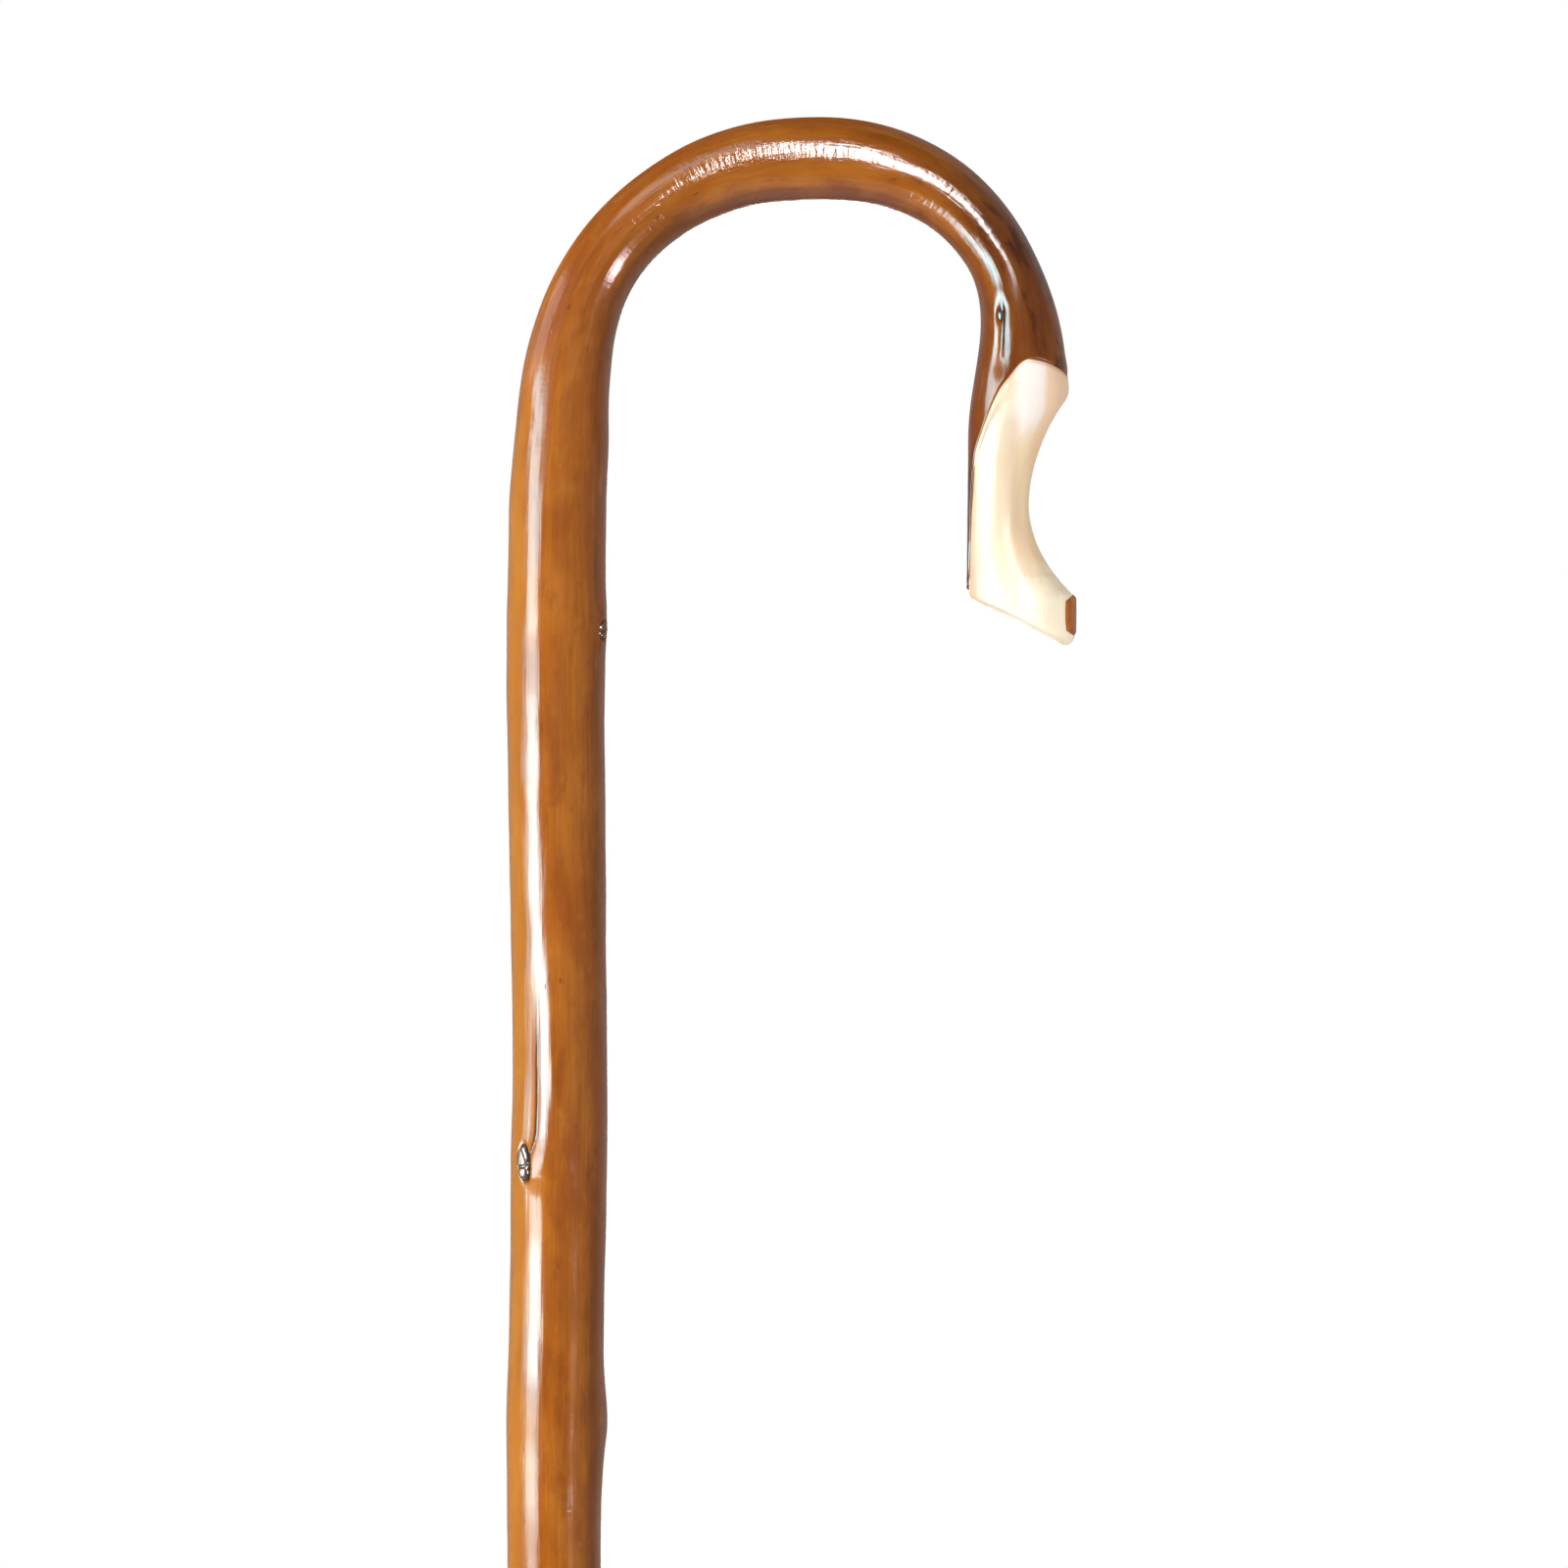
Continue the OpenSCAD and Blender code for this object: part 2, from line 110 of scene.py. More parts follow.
# How far down the bark is peeled, by the turn from the rod's outer side
PEEL_LINE = [(0, 5), (60, 1), (90, 0), (104, 4), (125, 13), (148, 22), (158, 30), (165, 52)]

# The trimmed shoots: name, station and bearing
KNOTS = [
    ("knot_foot", 215, 310), ("knot_low", 392, 95), ("knot_middle", 540, 235), ("knot_hand", 700, 20),
    ("knot_side", BACK_START - 263, 196), ("knot_front", BACK_START - 193, 46),
    ("knot_inner", BACK_START - 54, 160), ("knot_nose", FRONT_END - 9, 120),
]


# The centre line and the sections, as in the solids
def along(table, s):
    """A value on soft steps between a table's points."""
    x = np.array([p[0] for p in table], float)
    y = np.array([p[1] for p in table], float)
    i = np.clip(np.searchsorted(x, s) - 1, 0, len(x) - 2)
    return y[i] + (y[i + 1] - y[i]) * ease((s - x[i]) / (x[i + 1] - x[i]))


def straight(table, x):
    """A value on straight lines between a table's points."""
    return np.interp(x, [p[0] for p in table], [p[1] for p in table])


def turned(b):
    """A bearing's turn from -180 to 180."""
    return (np.asarray(b, float) + 180) % 360 - 180


def full(x, n):
    """A sine or cosine drawn out to a fuller curve of power n."""
    return np.maximum(x, 0) ** (2 / n)


def square_to(x, n):
    """The same for the direction square to that curve."""
    return np.maximum(x, 0) ** (2 - 2 / n)


def centre_and_lean(s):
    """The centre line's X and Z at a station, and how far it leans over there."""
    s = np.asarray(s, float)
    back = np.radians(90 * np.clip((s - BACK_START) / (BACK_END - BACK_START), 0, 1))
    front = np.radians(90 * np.clip((s - BACK_END) / (FRONT_END - BACK_END), 0, 1))
    x = PEAK_REACH * (1 - full(np.cos(back), BACK_FULL)) + NOSE_REACH * full(np.sin(front), FRONT_FULL)
    z = np.minimum(s, BACK_START) + BACK_RISE * full(np.sin(back), BACK_FULL)
    z = z - FRONT_RISE * (1 - full(np.cos(front), FRONT_FULL)) - np.maximum(s - FRONT_END, 0)
    lean = np.arctan2(
        square_to(np.sin(back), BACK_FULL) / BACK_RISE, square_to(np.cos(back), BACK_FULL) / PEAK_REACH
    )
    lean = lean + np.arctan2(
        square_to(np.sin(front), FRONT_FULL) / NOSE_REACH, square_to(np.cos(front), FRONT_FULL) / FRONT_RISE
    )
    return x, z, lean


def place(s, u, v):
    """Points that lie out from the centre line by u, away from the bow's hollow, and v to the front."""
    x, z, lean = centre_and_lean(s)
    across = x + WANDER * along(SWAY_AT, s) - u * np.cos(lean)
    back = WANDER * along(BULGE_AT, s) - v
    return np.stack([across, back, z + u * np.sin(lean)], axis=-1)


def swelling(s, b):
    """How far the rod swells at its knots."""
    parts = []
    for _, at, bearing in KNOTS:
        up, turn = (s - at) / KNOT_SWELL_LENGTH, turned(b - bearing) / KNOT_SWELL_TURN
        parts.append(KNOT_SWELL * np.exp(-(up**2) - turn**2))
    return np.max(parts, axis=0)


def rod(s, b, inset):
    """The rod's section, set in from the bark's surface."""
    more = swelling(s, b) - inset
    a = np.radians(b)
    return (along(WIDTH_AT, s) / 2 + more) * np.cos(a), (along(DEPTH_AT, s) / 2 + more) * np.sin(a)


TOE_LIFT, TOE_LIFT_RUN = 0.85, 12.0
SCOOP_UPPER_EDGE, SCOOP_LOWER_EDGE = 1.6, 0.3


def carved(s, b):
    """The carved nose's section: scooped on the outside and drawn in to the waist."""
    d = s - FRONT_END - SCOOP_DROP
    scoop = SCOOP_REACH + d * d / (2 * np.where(d < 0, SCOOP_UPPER_R, SCOOP_LOWER_R))
    wood = along(WIDTH_AT, s) / 2 - BARK_T
    limit = wood + TOE_LIFT * ease(d / TOE_LIFT_RUN)
    soft = np.where(d < 0, SCOOP_UPPER_EDGE, SCOOP_LOWER_EDGE)
    outer = (limit + scoop - np.sqrt((limit - scoop) ** 2 + soft**2)) / 2
    depth = np.minimum(along(CARVED_DEPTH_AT, s), along(DEPTH_AT, s) - 2 * BARK_T) / 2
    power = 2 + (RIDGE_POWER - 2) * ease((s - FRONT_END - PEEL_DROP) / RUN_IN)
    c, n = np.cos(np.radians(b)), np.sin(np.radians(b))
    u = (outer - wood) / 2 + (outer + wood) / 2 * np.sign(c) * np.abs(c) ** (2 / power)
    return u, depth * np.sign(n) * np.abs(n) ** (2 / power)


def toe_station(b):
    """Station of the slanted end at a bearing."""
    slope = math.tan(math.radians(TOE_SLOPE))
    first = carved(NOSE_END + 0 * b, b)[0]
    return NOSE_END + carved(NOSE_END + first * slope, b)[0] * slope


STRIP_TURN, STRIP_EDGE = 162, 10
PEEL_SMOOTHING = (-8, -4, 0, 4, 8)


def bark_end(b):
    """Station at which the bark ends at a bearing: on the peel line, or at the end of the thin strip."""
    turn = np.abs(turned(b))
    turn = turn - 5 * np.exp(-(((turn - 122) / 14) ** 2)) - 4 * ease((turn - 140) / 20)
    last = toe_station(b) - TOE_ROUND - BARK_SETBACK
    line = 0
    for off in PEEL_SMOOTHING:
        line = line + straight(PEEL_LINE, np.abs(turned(turn + off))) / len(PEEL_SMOOTHING)
    line = FRONT_END + PEEL_DROP + line
    run_out = ease((turn - STRIP_TURN) / STRIP_EDGE)
    return np.minimum(last, line + (last - line) * run_out)


def nose_section(s, b):
    """The wood's section on the nose, from the rod to the carving."""
    w = ease((s - bark_end(b)) / RUN_IN)
    bare, cut = rod(s, b, BARK_T), carved(s, b)
    return bare[0] + (cut[0] - bare[0]) * w, bare[1] + (cut[1] - bare[1]) * w


# Small unevenness: seeded waves that close round the rod
def waves(count, turns, length, power=1.0):
    """A field of waves over station and bearing, of up to so many turns round and no shorter than length."""
    rows = []
    for _ in range(count):
        f = rng.integers(0, turns + 1)
        k = rng.uniform(-1, 1) / length
        size = 1 / (1 + f + abs(k) * length * turns) ** power
        rows.append((f, k * 2 * math.pi, rng.uniform(0, 2 * math.pi), size))
    scale = 1 / math.sqrt(sum(r[3] ** 2 for r in rows) / 2)

    def field(s, b):
        a = np.radians(b)
        return scale * sum(r[3] * np.cos(r[0] * a + r[1] * s + r[2]) for r in rows)

    return field


broad = waves(26, 3, 55.0)
ripple = waves(40, 9, 16.0, 0.6)
fibre = waves(60, 34, 22.0, 0.15)

# The bark round the shoots: half width and height of each cut face, then rises and rings round it
KNOT_OVAL = {
    "knot_foot": (2.1, 2.9), "knot_low": (2.4, 3.1), "knot_middle": (2.0, 2.6), "knot_hand": (2.3, 3.2),
    "knot_side": (2.2, 3.0), "knot_front": (1.65, 4.2), "knot_inner": (1.7, 2.3), "knot_nose": (1.2, 2.2),
}
KNOT_RISE, USUAL_RISE = {"knot_front": 0.25, "knot_nose": 0.6, "knot_inner": 0.3}, 0.8
KNOT_REACH, KNOT_TILT = 75, 0.1
CREASE_RING, LIP_RING = 1.12, 1.65
TINY = 1e-9


def deep_side(name):
    """The side of a knot that the crease is deepest on."""
    return 1 if name in ("knot_front", "knot_low", "knot_nose", "knot_side") else -1


def mean_radius(s):
    return (along(WIDTH_AT, s) + along(DEPTH_AT, s)) / 4


def knot_frame(name, at, bearing, s, b):
    """Distances round and up from a knot, the ring they lie on, and the side the crease is deepest on."""
    round_by = np.radians(turned(b - bearing)) * mean_radius(s)
    up = at - s if name == "knot_nose" else s - at
    wide, tall = KNOT_OVAL[name]
    side = deep_side(name)
    tilted = round_by + KNOT_TILT * side * up
    return tilted, up, np.sqrt((tilted / wide) ** 2 + (up / tall) ** 2) + TINY, side


def shaped(x, table):
    """A height given by straight stretches with slightly rounded corners."""
    return sum(straight(table, x + off) for off in (-0.2, -0.1, 0.0, 0.1, 0.2)) / 5


# Heights across the ridge above the front shoot, along the hollow below it, and across the nose's groove
FRONT_RIDGE = [
    (-6.5, 0.1), (-0.4, 0), (0.3, -0.09), (1, -0.13), (1.8, -0.14), (2.4, -0.1), (3.0, 0.03), (3.6, -0.42),
    (4.3, -0.14), (8.3, 0.48), (10, 0.46), (18, 0),
]
FRONT_STEP = [(-13, 0), (-9, -0.06), (-4.6, -0.4), (-3.2, 0)]
NOSE_GROOVE = [
    (-4.6, 0), (-2.6, -0.08), (-0.6, -0.68), (-0.2, -0.76), (0.3, -0.45), (0.7, -0.4), (2.9, 0.03), (6.5, 0),
]


def front_run(x, up, side):
    """How strongly the ridge above the front shoot shows, and the distance across it."""
    run = ease((up + 4) / 6) * ease((66 - up) / 40)
    return run, x - KNOT_TILT * side * up + 2.4 * ease((9 - up) / 11)


def knot_shape(s, b):
    """Height of the bark round the trimmed shoots, and how dark it is there, which is shade painted in their
    creases, grooves and holes.
    """
    height = np.zeros(np.broadcast(s, b).shape)
    dark = np.zeros_like(height)
    for name, at, bearing in KNOTS:
        x, up, r, side = knot_frame(name, at, bearing, s, b)
        near = np.abs(up) < KNOT_REACH
        below = 11.0 if name == "knot_nose" else 6.5
        swell = np.exp(-((x / 4.4) ** 2) - (up / np.where(up > 0, 10.0, below)) ** 2)
        swell = KNOT_RISE.get(name, USUAL_RISE) * swell
        lopsided = np.tanh(side * x / 1.2)
        crease = (0.62 + 0.38 * lopsided) * np.exp(-(((r - CREASE_RING) / 0.2) ** 2))
        lip = 0.38 * (0.6 + 0.4 * lopsided) * np.exp(-(((r - LIP_RING) / 0.36) ** 2))
        sink = -0.9 * ease((CREASE_RING - r) / 0.2)
        hollow = -0.32 * np.exp(-((x / 3.4) ** 2) - ((up + 7.5) / 2.6) ** 2)
        part = swell + lip + hollow - 0.8 * crease + sink
        shade = np.maximum(0.95 * crease, 0.22 * np.exp(-((r / 1.9) ** 2)))
        if name == "knot_front":
            run, across = front_run(x, up, side)
            hollow = shaped(up, FRONT_STEP) * np.exp(-(((x - 3.5) / 5.5) ** 2)) * ease((r - 0.8) / 0.4)
            part = swell + hollow - 0.8 * crease + sink + run * shaped(across, FRONT_RIDGE)
            shade = np.maximum(shade, 0.75 * run * np.exp(-(((across - 3.6) / 0.45) ** 2)))
        if name == "knot_nose":
            run = ease((up + 18) / 8) * ease((7.0 - up) / 6)
            across = KNOT_TILT * side * up - x - 0.9 - 0.075 * up
            part = swell + run * shaped(across, NOSE_GROOVE) - 0.5 * np.exp(-(r**2))
            low = run * np.exp(-((across / 0.55) ** 2))
            shade = np.maximum(0.9 * np.exp(-(r**2)), 0.95 * low * ease((up + 12) / 5))
        if name == "knot_side":
            part, shade = swell, 0.3 * shade
        height = height + near * part
        dark = np.maximum(dark, near * shade)
    return height, dark


# Where a hand has worn the shaft's varnish: strengths along the stations, a bearing and a half width
HAND_WORN = [
    (640, 0), (780, 0.6), (852, 0.6), (859, 0.42), (868, 0.42), (873, 0.58), (887, 0.52), (895, 0),
    (923, 0), (929, 0.45), (948, 0.42), (955, 0), (1065, 0), (1070, 0.38), (1082, 0.38), (1090, 0),
]
HAND_BEARING, HAND_HALF = 62, 45

# Rubbed places on the bow and behind: a bearing, a half width, and strengths along the stations
RUBBED = [
    (0, 40, [(BACK_START + 15, 0), (BACK_START + 40, 1), (BACK_END + 5, 1), (BACK_END + 25, 0)]),
    (-14, 22, [(BACK_END - 10, 0), (BACK_END + 10, 1), (FRONT_END - 14, 1), (FRONT_END - 2, 0)]),
    (-33, 16, [(0, 1), (BACK_START + 30, 1), (BACK_START + 60, 0)]),
    (213, 17, [(BACK_END + 25, 0), (BACK_END + 45, 1)]),
    (208, 18, [(BACK_START - 10, 0), (BACK_START + 5, 1), (BACK_START + 45, 1), (BACK_START + 60, 0)]),
]


def band(b, middle, half):
    """A band along the rod that is 1 at its middle bearing and fades at its half width."""
    return np.exp(-((turned(b - middle) / half) ** 4))


def dull_patch(s, b):
    """How little varnish is left: beside the front shoot, where a hand wears it, and in rubbed places."""
    front = next(k for k in KNOTS if k[0] == "knot_front")
    x, up, r, side = knot_frame(*front, s, b)
    below = ease((up + 12) / 6) * ease((-3.2 - up) / 1.2)
    below = below * np.exp(-(((x - 4) / 4.5) ** 4)) * ease((r - 1) / 0.3)
    run, across = front_run(x, up, side)
    crease = 0.9 * run * np.exp(-(((across - 3.0) / 0.75) ** 4))
    worn = straight(HAND_WORN, s + 1.2 * ripple(s, b)) * band(b, HAND_BEARING, HAND_HALF)
    for middle, half, strengths in RUBBED:
        worn = np.maximum(worn, straight(strengths, s) * band(b, middle, half))
    return np.maximum(np.maximum(below, crease), worn)


def packed_stations(low, high, step, fine):
    """Stations from low to high, step apart, and fine apart beside a knot."""
    out, s = [low], low
    while s < high - 1e-6:
        gap = min(abs(s - k[1]) for k in KNOTS)
        s += fine + (step - fine) * float(ease((gap - 7) / 12))
        out.append(min(s, high))
    return np.array(out)


CROWD, CROWD_REACH = 0.6, 11
CROWD_REACH_ABOVE = {"knot_front": 45, "knot_nose": 18}


def crowded_bearings(s, sides):
    """Evenly spread bearings, drawn together beside a knot at a station near it."""
    b = np.arange(sides)[None, :] * 360.0 / sides + 0 * s[:, None]
    out = b.copy()
    for name, at, bearing in KNOTS:
        reach = np.where(s > at, CROWD_REACH_ABOVE.get(name, CROWD_REACH), CROWD_REACH)
        w = CROWD * np.exp(-(((s - at) / reach) ** 2))[:, None]
        out -= np.degrees(w * np.sin(np.radians(b - bearing)))
    return out


# Meshes
def make_mesh(name, points, faces, attributes):
    """A smooth mesh of points in millimetres, with a value or a vector at each point."""
    mesh = bpy.data.meshes.new(name)
    mesh.from_pydata((points / 1000).tolist(), [], faces)
    mesh.validate()
    for key, values in attributes.items():
        if values.ndim == 2:
            made = mesh.attributes.new(key, "FLOAT_VECTOR", "POINT")
            made.data.foreach_set("vector", values.astype(np.float32).ravel())
        else:
            made = mesh.attributes.new(key, "FLOAT", "POINT")
            made.data.foreach_set("value", values.astype(np.float32))
    mesh.polygons.foreach_set("use_smooth", np.ones(len(mesh.polygons), bool))
    mesh.update()
    obj = bpy.data.objects.new(name, mesh)
    scene.collection.objects.link(obj)
    return obj


def tube_faces(rows, cols, closed=True):
    """Quads between the rows of a grid, round it or only across it."""
    i = np.arange(rows - 1)[:, None] * cols
    j = np.arange(cols if closed else cols - 1)[None, :]
    k = (j + 1) % cols
    quads = np.stack([i + j, i + k, i + cols + k, i + cols + j], axis=-1)
    return quads.reshape(-1, 4)


def finish_piece(obj, material, slot, *nodes):
    """Gives a piece its material and its body, and hides the solids' nodes that it stands for. The slot is
    not used.
    """
    obj.data.materials.append(material)
    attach(obj, "root")
    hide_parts(*nodes)


STICK_R = 12.5


def stick_coordinates(s, b):
    """Coordinates that run straight along the rod however it bends, in metres."""
    a = np.radians(b)
    return np.stack([STICK_R * np.cos(a), STICK_R * np.sin(a), s], axis=-1) / 1000


# Shader helpers
def srgb(r, g, b):
    """A colour given in screen levels from 0 to 255."""
    def one(c):
        c /= 255
        return c / 12.92 if c <= 0.04045 else ((c + 0.055) / 1.055) ** 2.4

    return one(r), one(g), one(b), 1.0


def feed(tree, node, inputs):
    """Links or sets a node's inputs."""
    for key, value in inputs.items():
        if isinstance(value, bpy.types.NodeSocket):
            tree.links.new(value, node.inputs[key])
        else:
            node.inputs[key].default_value = value


def add(tree, kind, inputs=None, **settings):
    """A new node with its settings and inputs."""
    node = tree.nodes.new(kind)
    for key, value in settings.items():
        setattr(node, key, value)
    feed(tree, node, inputs or {})
    return node


def empty_tree(owner):
    """The node tree of a material or a world, with nothing in it."""
    owner.use_nodes = True
    owner.node_tree.nodes.clear()
    return owner.node_tree


def new_material(name):
    mat = bpy.data.materials.new(name)
    tree = empty_tree(mat)
    shader = add(tree, "ShaderNodeBsdfPrincipled")
    add(tree, "ShaderNodeOutputMaterial", {"Surface": shader.outputs[0]})
    return mat, tree, shader


def attribute(tree, name, output):
    return add(tree, "ShaderNodeAttribute", attribute_name=name).outputs[output]


def stretched(tree, vector, scale):
    return add(tree, "ShaderNodeVectorMath", {0: vector, 1: scale}, operation="MULTIPLY").outputs[0]


def noise(tree, vector, scale, detail=3.0, rough=0.55, distortion=0.0):
    inputs = {
        "Vector": stretched(tree, vector, scale), "Scale": 1.0, "Detail": detail, "Roughness": rough,
        "Distortion": distortion,
    }
    return add(tree, "ShaderNodeTexNoise", inputs).outputs["Fac"]


def ramp(tree, value, low, high, to_low=0.0, to_high=1.0):
    """A soft step of a value between low and high, as a number from to_low to to_high."""
    inputs = {"Value": value, "From Min": low, "From Max": high, "To Min": to_low, "To Max": to_high}
    return add(tree, "ShaderNodeMapRange", inputs, interpolation_type="SMOOTHSTEP").outputs[0]


def maths(tree, operation, a, b=0.0):
    return add(tree, "ShaderNodeMath", {0: a, 1: b}, operation=operation).outputs[0]


def times(tree, a, b):
    return maths(tree, "MULTIPLY", a, b)


def plus(tree, a, b):
    return maths(tree, "ADD", a, b)


def between(tree, station, low, high, to_low=0.0, to_high=1.0):
    """A ramp between two stations, which are given in millimetres."""
    return ramp(tree, station, low / 1000, high / 1000, to_low, to_high)


def choose(tree, factor, a, b):
    """A number that is a where the factor is 0 and b where it is 1."""
    return add(tree, "ShaderNodeMix", {0: factor, 2: a, 3: b}, data_type="FLOAT").outputs[0]


def blend(tree, factor, a, b, mode="MIX"):
    """A colour that is a where the factor is 0 and b, or a times b, where it is 1."""
    return add(
        tree, "ShaderNodeMix", {0: factor, 6: a, 7: b}, data_type="RGBA", blend_type=mode
    ).outputs[2]


def paint(tree, colour, mask, share, tone, mode="MIX"):
    """A colour with a share of a tone laid on it where the mask is 1."""
    return blend(tree, times(tree, mask, share), colour, tone, mode)


def wash(tree, colour, pattern, low, high, share, tone):
    """The same where a pattern runs from low to high."""
    return blend(tree, ramp(tree, pattern, low, high, 0, share), colour, tone)


def bump(tree, height, strength, distance):
    inputs = {"Height": height, "Strength": strength, "Distance": distance}
    return add(tree, "ShaderNodeBump", inputs).outputs[0]


def growth(tree, vector, profile, scale, distortion, more):
    """Growth rings round the grain."""
    return add(
        tree, "ShaderNodeTexWave",
        {"Vector": vector, "Scale": scale, "Distortion": distortion, "Detail": 2.0, **more},
        wave_type="RINGS", rings_direction="Z", wave_profile=profile,
    ).outputs["Fac"]


def flecks(tree, vector, scale, size, share):
    """Small scattered marks: a mask that is 1 in some cells of a stretched pattern."""
    spread = stretched(tree, vector, scale)
    cells = add(tree, "ShaderNodeTexVoronoi", {"Vector": spread, "Scale": 1.0, "Randomness": 1.0})
    pick = add(tree, "ShaderNodeSeparateColor", {"Color": cells.outputs["Color"]}).outputs[0]
    near = ramp(tree, cells.outputs["Distance"], size, size * 0.45)
    return times(tree, near, ramp(tree, pick, 1 - share, 1 - share + 0.02))


# Materials
RUBBED_COAT = 0.05


def bark_material():
    """Stained bark under gloss varnish, which is thin where the dull attribute is high, with painted light
    on the shaft's outer side and painted shade on its inner side and round the shoots.
    """
    mat, tree, shader = new_material("varnished_bark")
    at = attribute(tree, "stick", "Vector")
    dark = attribute(tree, "dark", "Fac")
    edge = attribute(tree, "edge", "Fac")
    dull = attribute(tree, "dull", "Fac")
    axes = add(tree, "ShaderNodeSeparateXYZ", {0: at})
    station = axes.outputs["Z"]
    patches = noise(tree, at, (85, 85, 30), 3, 0.55, 0.4)
    mauve = noise(tree, at, (110, 110, 12), 2, 0.5)
    mottle = noise(tree, at, (260, 260, 110), 4, 0.62)
    streaks = noise(tree, at, (420, 420, 13), 4, 0.6)
    threads = noise(tree, at, (1500, 1500, 45), 3, 0.6)
    rungs = noise(tree, at, (95, 95, 800), 3, 0.65)
    colour = blend(tree, ramp(tree, patches, 0.3, 0.7), srgb(178, 95, 26), srgb(204, 121, 38))
    colour = wash(tree, colour, mauve, 0.5, 0.72, 0.5, srgb(168, 88, 40))
    colour = wash(tree, colour, mottle, 0.5, 0.72, 0.5, srgb(152, 80, 26))
    colour = wash(tree, colour, mottle, 0.46, 0.28, 0.4, srgb(216, 137, 44))
    colour = wash(tree, colour, streaks, 0.52, 0.78, 0.28, srgb(130, 66, 26))
    colour = wash(tree, colour, streaks, 0.46, 0.22, 0.28, srgb(222, 150, 52))
    colour = wash(tree, colour, threads, 0.42, 0.7, 0.2, srgb(116, 60, 24))
    pale = flecks(tree, at, (150, 150, 120), 0.13, 0.14)
    specks = flecks(tree, at, (260, 260, 130), 0.14, 0.2)
    colour = paint(tree, colour, pale, 0.2, srgb(214, 150, 84))
    colour = paint(tree, colour, specks, 0.5, srgb(110, 44, 24))
    outward = plus(tree, axes.outputs["X"], times(tree, patches, 0.004))
    # Painted light: the shaft's outer side, on the left, is lighter and more golden.
    painted_light_outer = times(tree, ramp(tree, outward, 0.006, 0.0125), ramp(tree, station, 1.17, 1.11))
    colour = paint(tree, colour, painted_light_outer, 0.5, srgb(214, 148, 66))
    # Painted shade: the inner side, on the right of the shaft and under the bow, is darker and more mauve.
    painted_shade_inner = ramp(tree, outward, -0.0045, -0.0085)
    colour = paint(tree, colour, painted_shade_inner, 0.85, (0.66, 0.64, 0.92, 1), "MULTIPLY")
    bowed = between(tree, station, BACK_START - 25, BACK_START + 50)
    colour = paint(tree, colour, bowed, 0.8, (0.86, 0.86, 0.95, 1), "MULTIPLY")
    # Painted shade, deeper still on the inner side of the bow.
    hollow = times(tree, bowed, painted_shade_inner)
    colour = paint(tree, colour, hollow, 0.6, (0.7, 0.66, 0.7, 1), "MULTIPLY")
    shoulder = between(tree, station, BACK_END + 15, FRONT_END - 25)
    shoulder = times(tree, shoulder, ramp(tree, outward, -0.0075, -0.0015))
    colour = paint(tree, colour, shoulder, 0.95, (0.48, 0.43, 0.38, 1), "MULTIPLY")
    sliver = between(tree, station, FRONT_END + 22, FRONT_END + 34)
    colour = paint(tree, colour, sliver, 0.8, (0.42, 0.42, 0.4, 1), "MULTIPLY")
    blotch = times(tree, shoulder, ramp(tree, mottle, 0.5, 0.66))
    colour = paint(tree, colour, blotch, 0.6, srgb(52, 28, 16))
    # Painted shade in the creases, grooves and holes round the shoots, carried by the dark attribute.
    colour = wash(tree, colour, dark, 0.05, 0.95, 0.95, srgb(30, 22, 15))
    colour = wash(tree, colour, edge, 0.3, 0.85, 1.0, srgb(196, 130, 84))
    relief = plus(tree, times(tree, threads, 0.5), times(tree, streaks, 0.5))
    relief = plus(tree, relief, times(tree, pale, 0.35))
    relief = maths(tree, "SUBTRACT", relief, times(tree, specks, 0.4))
    bent = between(tree, station, BACK_START + 45, BACK_END - 18, 0.15, 1.0)
    bent = times(tree, bent, between(tree, station, FRONT_END - 22, FRONT_END - 34))
    wrinkle = times(tree, plus(tree, rungs, mottle), bent)
    varnish = plus(tree, times(tree, relief, 0.5), wrinkle)
    feed(tree, shader, {
        "Base Color": colour,
        "Roughness": ramp(tree, patches, 0.3, 0.75, 0.42, 0.55),
        "Specular IOR Level": 0.0,
        "Normal": bump(tree, relief, 0.5, 0.00035),
        "Coat Weight": ramp(tree, dull, 0.0, 1.0, 1.0, RUBBED_COAT),
        "Coat Roughness": 0.13,
        "Coat IOR": 1.55,
        "Coat Normal": bump(tree, varnish, 0.5, 0.0004),
    })
    return mat


